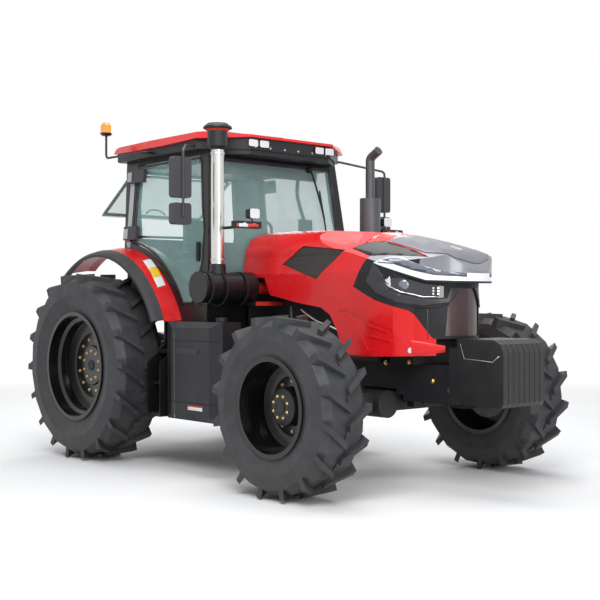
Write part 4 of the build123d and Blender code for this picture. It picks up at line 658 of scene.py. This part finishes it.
def chassis_trim(name, outline, view, on, material, slot="black_plastic", **options):
    """Thin trim that rides on the chassis."""
    return laid(name, outline, view, on, material, "chassis", slot, **options)


# ---- Hood: grey crown, bright lines, lamps and grille ----
hood_surface = surface_of("hood_mask", "hood_shell", "headlights", "hood_grilles")


def mirrored(half):
    """A closed outline from its right half, given as (distance ahead, y)."""
    right = [(ahead(x), -y) for x, y in half]
    return right + [(x, -y) for x, y in reversed(right) if abs(y) > 1e-6]


def placed(points):
    """Points given as (distance ahead, other), in the model's own frame."""
    return [(ahead(x), value) for x, value in points]


def hood_trim(name, outline, view, material, slot="black_plastic", **options):
    """Thin trim that rides on the hood."""
    return laid(name, outline, view, hood_surface, material, "hood", slot, **options)


CROWN_REAR = [(2.84, 0.0), (2.84, 0.345), (3.01, 0.268), (3.03, 0.0)]
CROWN = [(3.03, 0), (3.02, 0.255), (3.22, 0.277), (3.46, 0.3)]
CROWN += [(3.60, 0.262), (3.66, 0.19), (3.695, 0.06), (3.70, 0)]
STRIPE = [(2.77, 0.41), (2.98, 0.432), (3.04, 0.386), (3.2, 0.34)]
STRIPE += [(3.5, 0.338), (3.32, 0.304), (3.02, 0.276), (2.87, 0.336)]
CROWN_LINE = [(3.02, 0.266), (3.2, 0.284), (3.36, 0.305), (3.52, 0.34)]
STRIP_LINE = [(3.10, 1.776), (3.25, 1.762), (3.4, 1.712), (3.56, 1.674), (3.72, 1.66)]
STRIP_UPPER = [(3.12, 1.79), (3.18, 1.806), (3.25, 1.806), (3.35, 1.786), (3.46, 1.75), (3.6, 1.706)]
STRIP_UPPER += [(3.72, 1.684), (3.72, 1.664), (3.56, 1.678), (3.4, 1.717), (3.25, 1.767)]
BEZEL = [(3.06, 1.765), (2.99, 1.63), (3.08, 1.54), (3.26, 1.465), (3.44, 1.437), (3.575, 1.462)]
BEZEL += [(3.615, 1.575), (3.58, 1.572), (3.565, 1.492), (3.446, 1.486), (3.298, 1.522)]
BEZEL += [(3.205, 1.562), (3.135, 1.63), (3.12, 1.725)]
LENS_EDGE = [(3.215, 1.66), (3.15, 1.628), (3.21, 1.578), (3.3, 1.54), (3.44, 1.505), (3.555, 1.506)]
CHEEK_EDGE = [(2.775, 1.04), (3.0, 1.04), (3.2, 1.04), (3.385, 1.04)]
MASK_LEDGE = [(3.33, 1.452), (3.40, 1.43), (3.50, 1.426), (3.57, 1.448)]
MASK_SEAM = [(3.468, 1.42), (3.468, 1.18)]
LATCH_SPOT = (3.355, 1.095)
LATCH = [(0.022, -0.001), (0.022, 0.003), (0.018, 0.004), (0.01, 0.002), (0, 0.002)]
PROJECTOR_SPOT = (3.31, 1.6)
PROJECTOR = [(0.04, -0.001), (0.036, 0.003), (0.02, 0.006), (0, 0.007)]
LED_SPOT, LED_PITCH = (3.495, 1.528), (0.026, 0.022)
LED_SIZE = (0.016, 0.016, 0.008)
OVAL_X, OVAL_HALF = 3.50, (0.055, 0.034)
hood_trim("crown_rear", mirrored(CROWN_REAR), "top", RED, "red_paint", lift=0.0006, thick=0.0012)
hood_trim("crown_panel", mirrored(CROWN), "top", PANEL_GREY, thick=0.005, step=0.025, bevel=0.002)
ellipse = oval(ahead(OVAL_X), 0.0, *OVAL_HALF)
hood_trim("crown_oval", ellipse, "top", ZINC, "stainless", lift=0.0055, step=0.015)

for name, side in SIDES.items():
    stripe = [(x, side * y) for x, y in placed(STRIPE)]
    hood_trim(f"crown_stripe_{name}", stripe, "top", DARK_PANEL, thick=0.003)
    line = band([(x, side * y) for x, y in placed(CROWN_LINE)], 0.009)
    hood_trim(f"crown_line_{name}", line, "top", RED, "red_paint", lift=0.003, thick=0.003)
    hood_trim(f"strip_upper_{name}", placed(STRIP_UPPER), name, SMOKED, "lamp_lens", lift=0.0006)
    line = band(placed(STRIP_LINE), 0.008)
    hood_trim(f"strip_line_{name}", line, name, DARK_LENS, "lamp_lens")
    hood_trim(f"lamp_bezel_{name}", placed(BEZEL), name, BEZEL_GREY, thick=0.006, bevel=0.003)
    line = band(placed(LENS_EDGE), 0.007)
    hood_trim(f"lens_edge_{name}", line, name, REFLECTOR, "lamp_lens", lift=0.0015)
    line = band(placed(CHEEK_EDGE), 0.015)
    hood_trim(f"cheek_edge_{name}", line, name, RUBBER, "rubber", thick=0.004)
    line = band(placed(MASK_LEDGE), 0.012)
    hood_trim(f"mask_ledge_{name}", line, name, MATTE_BLACK, thick=0.008, bevel=0.003)
    hood_trim(f"mask_seam_{name}", band(placed(MASK_SEAM), 0.004), name, DARK_LENS)

    x, z = LATCH_SPOT
    spot, normal = met(hood_surface, name, ahead(x), z)
    place_turned(f"latch_{name}", spot, normal, LATCH, 32, ZINC, "hood")
    x, z = PROJECTOR_SPOT
    spot, normal = met(hood_surface, name, ahead(x), z)
    place_turned(f"projector_{name}", spot, normal, PROJECTOR, 36, SMOKED, "hood")
    bm = bmesh.new()
    for i in range(2):
        for j in range(3):
            x, z = LED_SPOT[0] + i * LED_PITCH[0], LED_SPOT[1] + j * LED_PITCH[1]
            spot, normal = met(hood_surface, name, ahead(x), z)
            matrix = Matrix.Translation(spot) @ aim(normal) @ Matrix.Diagonal((*LED_SIZE, 1))
            bmesh.ops.create_cube(bm, size=1, matrix=matrix)
    place_bm(f"led_block_{name}", bm, REFLECTOR, "hood", bevel=0.002)


LIP_PLAN = [(3.36, 0.358), (3.44, 0.312), (3.50, 0.264), (3.565, 0.2)]
LIP_LOW, LIP_TOP = 1.048, 1.176
LIP_BACK = -0.012


def lip_shape(side):
    """The red lip under the mask, from the cheek round towards the grille."""
    bm = bmesh.new()
    rows = []
    for i, (x, y) in enumerate(LIP_PLAN):
        low = LIP_LOW + 0.012 * i
        top = LIP_TOP - 0.014 * i
        out = [(0.0, low), (0.012, low + 0.02), (0.014, top - 0.03)]
        out += [(0.004, top), (LIP_BACK, top - 0.004), (LIP_BACK, low)]
        rows.append([bm.verts.new((ahead(x + d * 0.6), side * (y + d * 0.8), z)) for d, z in out])
    for a, b in zip(rows, rows[1:]):
        for j in range(len(a)):
            k = (j + 1) % len(a)
            bm.faces.new((a[j], b[j], b[k], a[k]))
    bm.faces.new(rows[0])
    bm.faces.new(rows[-1][::-1])
    return bm


for name, side in SIDES.items():
    place_bm(f"cheek_lip_{name}", lip_shape(side), RED, "hood", bevel=0.004)

# ---- Wheels: bolts, caps and valves ----
BOLT_CIRCLES = {  # radius, number and size of the bolts of each circle
    "rear": ((0.245, 12, 0.013), (0.135, 10, 0.011)),
    "front": ((0.19, 10, 0.012), (0.085, 8, 0.009)),
}
VALVE_RADIUS = {"rear": 0.40, "front": 0.30}
VALVE_TURN = 0.7
VALVE = [(0.007, -0.002), (0.007, 0.02), (0.0045, 0.022), (0.0045, 0.045), (0, 0.045)]
HUB_CAP = [(0.05, -0.001), (0.05, 0.006), (0.04, 0.01), (0.012, 0.011), (0, 0.011)]


def on_wheel(wheel, hub, out, radius, turn):
    """Point of a wheel's outer face, at a radius and a turn about its hub."""
    start = hub + Vector((radius * cos(turn), out.y * 2, radius * sin(turn)))
    spot, _, _, _ = wheel.ray_cast(start, -out)
    return spot


for name, side in SIDES.items():
    out = Vector((0, side, 0))
    for end in ("rear", "front"):
        body = f"{end}_wheel_{name}"
        hub = Vector(JOINTS[f"{body}_spin"]["pos_m"])
        wheel = surface_of(body)
        bm = bmesh.new()
        for radius, count, size in BOLT_CIRCLES[end]:
            for i in range(count):
                spot = on_wheel(wheel, hub, out, radius, 2 * pi * (i + 0.5) / count)
                if spot:
                    add_bolt(bm, spot, out, size)
        place_bm(f"{end}_wheel_bolts_{name}", bm, BRASS, body)
        spot = on_wheel(wheel, hub, out, VALVE_RADIUS[end], VALVE_TURN)
        place_turned(f"{end}_valve_{name}", spot, out, VALVE, 14, BRASS, body)
        spot = on_wheel(wheel, hub, out, 0.0, 0.0)
        place_turned(f"{end}_hub_cap_{name}", spot, out, HUB_CAP, 36, HUB_GREY, body)

# ---- Cab: seals, handles, wiper, lamps and what shows through the glass ----
screen = surface_of("windshield", "cab_frame")
SCREEN = [(0.745, 1.62), (0.685, 2.73)]  # right half of the windshield's edge, as (y, z)
bottom, top = SCREEN
for name, side in SIDES.items():
    edge = band([(side * bottom[0], bottom[1]), (side * top[0], top[1])], 0.03)
    chassis_trim(f"screen_seal_{name}", edge, "front", screen, RUBBER, "rubber", thick=0.005)
for name, (half, z) in (("bottom", bottom), ("top", top)):
    edge = band([(-half, z), (half, z)], 0.03)
    chassis_trim(f"screen_seal_{name}", edge, "front", screen, RUBBER, "rubber", thick=0.005)


def on_screen(y, z, out=0.0):
    """Point this far in front of the windshield."""
    return off(screen, "front", y, z, out)


ARM = ((0.42, 2.715, 0.03), (0.47, 2.60, 0.035), (0.56, 2.25, 0.02))
tube("wiper_arm", [on_screen(*point) for point in ARM], 0.009, MATTE_BLACK)
BLADE = ((0.535, 2.52, 0.012), (0.56, 2.25, 0.014), (0.60, 1.95, 0.012))
tube("wiper_blade", [on_screen(*point) for point in BLADE], 0.008, RUBBER)
MOTOR = [(0.03, -0.002), (0.03, 0.03), (0.02, 0.042), (0, 0.042)]
pivot = on_screen(0.42, 2.715)
place_turned("wiper_motor", pivot, (1, 0, 0), MOTOR, 28, MATTE_BLACK, "chassis", 0.002)

# Sun blind behind the top of the windshield
low, high = (ahead(1.20), -0.60, 2.62), (ahead(1.225), 0.60, 2.74)
place_box("sun_blind", low, high, MOULDED_GREY, 0.008)
# Monitor on the driver's left, and the armrest with its lever
low, high = (ahead(1.10), 0.46, 2.06), (ahead(1.14), 0.62, 2.26)
place_box("monitor", low, high, MOULDED, 0.01)
MONITOR_ARM = ((1.12, 0.52, 2.26), (1.13, 0.44, 2.42), (1.15, 0.40, 2.56), (1.17, 0.42, 2.72))
tube("monitor_arm", [(ahead(x), y, z) for x, y, z in MONITOR_ARM], 0.018, MOULDED)
low, high = (ahead(0.22), -0.43, 1.40), (ahead(0.80), -0.28, 1.86)
place_box("side_console", low, high, MOULDED_GREY, 0.025)
low, high = (ahead(0.30), -0.42, 1.88), (ahead(0.74), -0.30, 1.95)
place_box("armrest", low, high, MOULDED, 0.02)
lever = [(ahead(0.66), -0.36, 1.94), (ahead(0.69), -0.36, 2.02), (ahead(0.70), -0.36, 2.08)]
tube("console_lever", lever, 0.014, MATTE_BLACK)

DOOR_BAR, BAR_INSIDE = ((0.26, 2.085), (0.7, 2.06), (1.22, 2.03)), -0.05
POST = [(0.12, 1.98), (0.115, 2.70)]
for name, side in SIDES.items():
    door = f"door_{name}"
    flank = surface_of(door, f"door_glass_{name}", "cab_frame")
    # Pull bar inside the door, and the handle by the front pillar
    points = [off(flank, name, ahead(x), z, BAR_INSIDE) for x, z in DOOR_BAR]
    tube(f"door_bar_{name}", points, 0.011, MATTE_BLACK, door)
    spot = off(flank, name, ahead(1.265), 1.90)
    low = (spot.x - 0.02, spot.y - side * 0.004, 1.82)
    high = (spot.x + 0.02, spot.y + side * 0.03, 1.99)
    place_box(f"door_handle_{name}", low, high, MATTE_BLACK, 0.01, door)
    # Light grey trim along the rear pillar
    line = band(placed(POST), 0.07)
    chassis_trim(f"pillar_trim_{name}", line, name, flank, PILLAR_GREY, thick=0.004, bevel=0.002)

# Marker lamps on the front of the lamp bars: red at both ends, clear in the middle
MARKERS = ((0.965, 0.985, RED_LENS), (0.87, 0.962, CLEAR_LENS), (0.76, 0.867, RED_LENS))
MARKER_LOW, MARKER_HIGH = 2.084, 2.138
bars = surface_of("work_lamps")
for name, side in SIDES.items():
    for i, (start, end, material) in enumerate(MARKERS):
        lens = [(side * start, MARKER_LOW), (side * end, MARKER_LOW)]
        lens += [(side * end, MARKER_HIGH), (side * start, MARKER_HIGH)]
        lamp = f"marker_lamp_{name}_{i}"
        chassis_trim(lamp, lens, "front", bars, material, "lamp_lens", thick=0.006, bevel=0.002)

# Screws along the roof's dark front
SCREW = [(0.009, -0.001), (0.009, 0.002), (0.006, 0.004), (0, 0.004)]
fascia = surface_of("roof_lining", "roof")
bm = bmesh.new()
for y in (-0.42, -0.25, -0.08, 0.08, 0.25, 0.42):
    spot, normal = met(fascia, "front", y, 2.835)
    if spot:
        add_turned(bm, spot, normal, SCREW, 18)
place_bm("fascia_screws", bm, ZINC, "chassis")

# Aerial lying along the roof
AERIAL, AERIAL_UP = ((1.30, -0.62), (1.36, -0.3), (1.40, 0.02)), 0.012
crown = surface_of("roof")
points = [met(crown, "top", ahead(x), y)[0] + Vector((0, 0, AERIAL_UP)) for x, y in AERIAL]
tube("roof_aerial", points, 0.007, MATTE_BLACK)

# Dark frame and handle of the rear window
pane = surface_of("rear_window")
pane_low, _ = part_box("rear_window")
rear_edge, front_edge = pane_low.x + 0.02, ahead(-0.175)
STRUT_Y, CROSS_HALF = 0.598, 0.615
frame_lines = {
    "right": [(rear_edge, -STRUT_Y), (front_edge, -STRUT_Y)],
    "left": [(rear_edge, STRUT_Y), (front_edge, STRUT_Y)],
    "rear": [(rear_edge, -CROSS_HALF), (rear_edge, CROSS_HALF)],
    "front": [(front_edge, -CROSS_HALF), (front_edge, CROSS_HALF)],
}
for name, line in frame_lines.items():
    laid(
        f"window_frame_{name}",
        band(line, 0.04),
        "top",
        pane,
        FRAME_BLACK,
        "rear_window",
        "black_paint",
        thick=0.006,
        bevel=0.002,
    )
PULL = ((0, -0.12, 0), (-0.01, -0.08, 0.05), (-0.01, 0.08, 0.05), (0, 0.12, 0))
spot, _ = met(pane, "top", pane_low.x + 0.06, 0)
points = [spot + Vector(offset) for offset in PULL]
tube("window_handle", points, 0.009, MATTE_BLACK, "rear_window")

# Clamps on the intake pipe and bands round the air cleaner
pipe = surface_of("precleaner")
pipe_low, pipe_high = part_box("precleaner")
pipe_x, pipe_y = (pipe_low.x + pipe_high.x) / 2, (pipe_low.y + pipe_high.y) / 2
bm = bmesh.new()
for z in (pipe_low.z + 0.035, 2.735):
    spot, _ = met(pipe, "front", pipe_y, z)
    r = spot.x - pipe_x
    ring = [(r - 0.001, -0.012), (r + 0.004, -0.012), (r + 0.004, 0.012), (r - 0.001, 0.012)]
    add_turned(bm, (pipe_x, pipe_y, z), (0, 0, 1), ring, 40)
    add_bolt(bm, (pipe_x + r + 0.004, pipe_y, z), (1, 0, 0), 0.008)
place_bm("intake_clamps", bm, ZINC, "chassis", bevel=0.001)
body_low, body_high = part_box("air_cleaner")
body_x = (body_low.x + body_high.x) / 2
r = body_x - body_low.x
ring = [(r - 0.004, -0.009), (r + 0.003, -0.007), (r + 0.003, 0.007), (r - 0.004, 0.009)]
bm = bmesh.new()
for along in (0.05, 0.2, 0.42):
    add_turned(bm, (body_x, body_low.y + along, body_low.z + r), (0, 1, 0), ring, 48)
place_bm("air_cleaner_bands", bm, MATTE_BLACK, "chassis")

# ---- Engine bay: cover, pipes and radiator core, seen when the hood is up ----
engine = surface_of("engine")
UNDER_HOOD = 1.95  # a height inside the hood and above the engine
deck = engine.ray_cast(Vector((ahead(2.4), 0.0, UNDER_HOOD)), Vector((0, 0, -1)))[0].z
bm = bmesh.new()
add_box(bm, (ahead(2.02), -0.13, deck - 0.002), (ahead(2.86), 0.13, deck + 0.045))
for i in range(7):
    x = ahead(2.08 + i * 0.12)
    add_box(bm, (x, -0.115, deck + 0.04), (x + 0.05, 0.115, deck + 0.058))
place_bm("rocker_cover", bm, CAST, "chassis", bevel=0.012)
FILLER_CAP = [(0.035, 0), (0.035, 0.04), (0.028, 0.05), (0, 0.05)]
bm = bmesh.new()
for i in range(8):
    for side in SIDES.values():
        add_bolt(bm, (ahead(2.05 + i * 0.112), side * 0.145, deck - 0.001), (0, 0, 1), 0.009)
add_turned(bm, (ahead(2.92), 0.06, deck - 0.002), (0, 0, 1), FILLER_CAP, 24)
place_bm("engine_caps", bm, ZINC, "chassis", bevel=0.001)

# Radiator core: fins between two posts and two rails
FINS, FIN_HALF, RAIL = 45, 0.25, 0.012
face, _ = met(engine, "front", 0.05, 1.45)
core_low, core_high = face.z - 0.29, face.z + 0.25
back_x, rail_x = face.x - 0.001, face.x + 0.018
bm = bmesh.new()
for i in range(FINS):
    z = core_low + (core_high - core_low) * i / (FINS - 1)
    add_box(bm, (back_x, -FIN_HALF, z - 0.002), (face.x + 0.012, FIN_HALF, z + 0.002))
for y in (-0.262, FIN_HALF):
    add_box(bm, (back_x, y, core_low - 0.02), (rail_x, y + RAIL, core_high + 0.02))
for z in (core_low - 0.02, core_high + 0.008):
    add_box(bm, (back_x, -0.262, z), (rail_x, 0.262, z + RAIL))
place_bm("radiator_core", bm, LINK_STEEL, "chassis")

# Routes of the pipes, as (distance ahead, y on the left, height). The first is measured up
# from the engine's deck, the others from the ground.
CHARGE = ((2.35, 0.1, -0.02), (2.5, 0.24, 0.075), (2.75, 0.26, 0.075), (2.98, 0.22, 0.07), (3.12, 0.2, 0.0))
BAY_HOSE = ((1.99, 0.385, 1.43), (2.0, 0.40, 1.33), (2.05, 0.40, 1.22), (2.12, 0.33, 1.12))
BAY_PIPE = ((2.12, 0.385, 1.40), (2.3, 0.39, 1.30), (2.5, 0.39, 1.27), (2.68, 0.34, 1.18))
for name, side in SIDES.items():
    points = [(ahead(x), side * y, deck + z) for x, y, z in CHARGE]
    charge_finish = ZINC if side < 0 else MATTE_BLACK
    tube(f"charge_pipe_{name}", points, 0.028, charge_finish)
    points = [(ahead(x), side * y, z) for x, y, z in BAY_HOSE]
    tube(f"bay_hose_{name}", points, 0.017, RUBBER)
    points = [(ahead(x), side * y, z) for x, y, z in BAY_PIPE]
    tube(f"bay_pipe_{name}", points, 0.011, ZINC)

# ---- Tanks and steps: seams, straps, grips and treads ----
tank_low, tank_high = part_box("tanks")
tanks = surface_of("tanks")
steps = surface_of("steps")
seam_low, seam_high = tank_low.x + 0.03, tank_high.x - 0.03
GRIP = [(1.30, 1.02), (1.62, 1.02), (1.62, 1.07), (1.30, 1.07)]
TREADS_Y, TREADS_X = (0.90, 0.96, 1.02, 1.08), (0.93, 1.0, 1.07, 1.14)
TREAD_LOW, TREAD_HIGH = Vector((0.022, 0.008, 0.001)), Vector((0.022, 0.008, 0.004))
STEP_COUNT = 4
LEVEL = 0.9  # a normal's least Z on the flat of a step
for name, side in SIDES.items():
    for i, z in enumerate((tank_high.z - 0.16, tank_low.z + 0.16)):
        seam = band([(seam_low, z), (seam_high, z)], 0.008)
        chassis_trim(f"tank_seam_{name}_{i}", seam, name, tanks, MATTE_BLACK, lift=0.0005, thick=0.0015)
    rod_x, rod_y = tank_low.x + 0.17, side * tank_high.y * 0.995
    rod = [(rod_x, rod_y, tank_low.z + 0.02), (rod_x, rod_y, tank_high.z - 0.08)]
    tube(f"tank_strap_{name}", rod, 0.006, BRASS_ROD, order=2)
    grip = placed(GRIP)
    chassis_trim(f"tank_grip_{name}", grip, name, tanks, RUBBER, "rubber", thick=0.004, bevel=0.0015)
    bm = bmesh.new()
    for y in TREADS_Y:
        for x in TREADS_X:
            height = FAR
            for _ in range(STEP_COUNT):
                start = Vector((ahead(x), side * y, height))
                spot, normal, _, _ = steps.ray_cast(start, Vector((0, 0, -1)))
                if spot is None:
                    break
                if normal.z > LEVEL:
                    add_box(bm, spot - TREAD_LOW, spot + TREAD_HIGH)
                height = spot.z - 0.01
    place_bm(f"step_tread_{name}", bm, RUBBER, "chassis", bevel=0.001)

# ---- Mirrors: the large glass and the small one below it ----
MIRROR_Y = 1.19
MIRRORS = ((2.58, 0.075, 0.15), (2.225, 0.07, 0.07))  # height, half width and half height
mirrors = surface_of("mirrors")
for name, side in SIDES.items():
    y = side * MIRROR_Y
    for i, (z, wide, high) in enumerate(MIRRORS):
        glass = [(y - wide, z - high), (y + wide, z - high), (y + wide, z + high), (y - wide, z + high)]
        chassis_trim(f"mirror_glass_{name}_{i}", glass, "rear", mirrors, MIRROR_GLASS, "glass", thick=0.002)

# ---- Plates on the fenders and tanks, all blank, and the tank caps ----
FENDER_PLATE = [(0.505, 0.84), (0.51, 0.925), (0.66, 0.945), (0.82, 0.968), (0.82, 0.885), (0.66, 0.862)]
FENDER_MIDDLE = [(0.63, 0.858), (0.63, 0.941), (0.735, 0.957), (0.735, 0.873)]
TANK_PLATE = [(1.47, 0.55), (1.68, 0.55), (1.68, 0.59), (1.47, 0.59)]
TANK_STRIPE = [(1.47, 0.578), (1.68, 0.578), (1.68, 0.59), (1.47, 0.59)]
TANK_CAP = [(0.05, -0.002), (0.05, 0.03), (0.046, 0.036), (0.02, 0.04), (0, 0.04)]
fenders = surface_of("fenders")
for name, side in SIDES.items():
    plate = [(x, side * y) for x, y in placed(FENDER_PLATE)]
    chassis_trim(f"fender_plate_{name}", plate, "top", fenders, LABEL_WHITE, "lamp_lens", step=0.012)
    chassis_trim(
        f"fender_plate_middle_{name}",
        [(x, side * y) for x, y in placed(FENDER_MIDDLE)],
        "top",
        fenders,
        LABEL_YELLOW,
        "amber",
        lift=0.0035,
        thick=0.001,
        step=0.012,
    )
    plate = placed(TANK_PLATE)
    chassis_trim(f"tank_plate_{name}", plate, name, tanks, LABEL_WHITE, "lamp_lens", thick=0.001)
    chassis_trim(
        f"tank_plate_stripe_{name}",
        placed(TANK_STRIPE),
        name,
        tanks,
        RED_PLASTIC,
        "red_paint",
        lift=0.002,
        thick=0.0008,
    )
    spot, normal = met(tanks, "top", ahead(1.72), side * 0.93)
    cap = f"tank_cap_{name}"
    place_turned(cap, spot, normal, TANK_CAP, 24, MATTE_BLACK, "chassis", 0.002)

# ---- Ballast and frame: a painted highlight along the weights' edge, and the frame's bolts ----
weights = surface_of("front_weights")
weights_low, weights_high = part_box("front_weights")
# Thin bright strip along the weights' edge: a painted highlight where the rounded plate edges catch the
# light
x0, x1, z1 = weights_low.x + 0.05, weights_high.x - 0.04, weights_high.z - 0.035
edge = [(x0 - 0.02, z1), (x0 + 0.02, z1 - 0.11), (x1 - 0.06, z1 - 0.125), (x1, z1 - 0.08)]
line = band(edge, 0.006)
for name in SIDES:
    chassis_trim(
        f"weight_highlight_{name}", line, name, weights, EDGE_HIGHLIGHT, "ballast", lift=0.0008, thick=0.001
    )
FRAME_BOLTS = ((3.62, 0.99), (3.62, 0.80), (3.45, 0.86), (3.28, 1.0))
FRAME_BOLTS += ((2.95, 0.98), (2.5, 0.95), (2.25, 0.95))
FRAME_HALF = 0.45  # what the ray meets further out isn't the frame
frame_surface = surface_of("front_frame", "engine")
for name, side in SIDES.items():
    bm = bmesh.new()
    for x, z in FRAME_BOLTS:
        spot, _ = met(frame_surface, name, ahead(x), z)
        if spot and abs(spot.y) < FRAME_HALF:
            add_bolt(bm, spot, (0, side, 0), 0.016)
    place_bm(f"frame_bolts_{name}", bm, BRASS, "chassis")

# ---- Seat: cushion and back swollen like stuffed cloth ----
CORNER, VOXEL = 0.035, 0.009
PRESSURE, FRAMES = 4, 15
PUFF = 0.012  # how far the cloth may swell
SEAM_DEPTH, SEAM_HALF = 0.008, 0.014


def stuffed(name, low, high, puff):
    """A padded block, rounded and then swollen by cloth simulation."""
    bm = bmesh.new()
    add_box(bm, low, high)
    bmesh.ops.bevel(bm, geom=bm.edges[:], offset=CORNER, segments=4, affect="EDGES", profile=0.6)
    mesh = bpy.data.meshes.new(name)
    bm.to_mesh(mesh)
    bm.free()
    pad = bpy.data.objects.new(name, mesh)
    scene.collection.objects.link(pad)
    remesh = pad.modifiers.new("even", "REMESH")
    remesh.mode = "VOXEL"
    remesh.voxel_size = VOXEL
    bake(pad)
    before = [v.co.copy() for v in pad.data.vertices]
    cloth = pad.modifiers.new("cloth", "CLOTH")
    cloth.settings.use_pressure = True
    cloth.settings.uniform_pressure_force = PRESSURE
    cloth.settings.effector_weights.gravity = 0
    for number in range(1, FRAMES + 1):
        scene.frame_set(number)
    bake(pad)
    scene.frame_set(1)
    for vertex, start in zip(pad.data.vertices, before):
        move = vertex.co - start
        if move.length > puff:
            vertex.co = start + move.normalized() * puff
    return pad


def bake(piece):
    """Applies every modifier of a piece to its mesh."""
    graph = bpy.context.evaluated_depsgraph_get()
    mesh = bpy.data.meshes.new_from_object(piece.evaluated_get(graph))
    piece.modifiers.clear()
    piece.data = mesh


def channel(pad, test, depth, width):
    """Presses a sewn channel where the signed distance of a point to the seam is small."""
    for vertex in pad.data.vertices:
        away = abs(test(vertex.co))
        if away < width:
            vertex.co = vertex.co - vertex.normal * depth * (1 - (away / width)) ** 2


seat_low, seat_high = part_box("seat")
width = (seat_high.y - seat_low.y) / 2
base_top = seat_low.z + 0.14
cushion = stuffed(
    "seat_cushion",
    (seat_low.x + 0.10, -width + 0.012, seat_low.z + 0.012),
    (seat_high.x - 0.012, width - 0.012, base_top - 0.012),
    PUFF,
)
back = stuffed(
    "seat_back",
    (seat_low.x + 0.012, -width + 0.03, base_top - 0.02),
    (seat_low.x + 0.12, width - 0.03, seat_high.z - 0.012),
    PUFF,
)
for pad, seams in (
    (cushion, (lambda p: abs(p.y) - width * 0.55, lambda p: p.x - seat_low.x - 0.36)),
    (back, (lambda p: abs(p.y) - width * 0.5, lambda p: p.z - seat_low.z - 0.42)),
):
    for seam in seams:
        channel(pad, seam, SEAM_DEPTH, SEAM_HALF)
    pad.data.materials.clear()
    pad.data.materials.append(FABRIC)
    for face in pad.data.polygons:
        face.use_smooth = True
    smooth = pad.modifiers.new("fine", "SUBSURF")
    smooth.levels = 1
    smooth.render_levels = 1
    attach(pad, "chassis")
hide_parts("seat")
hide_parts("seat")
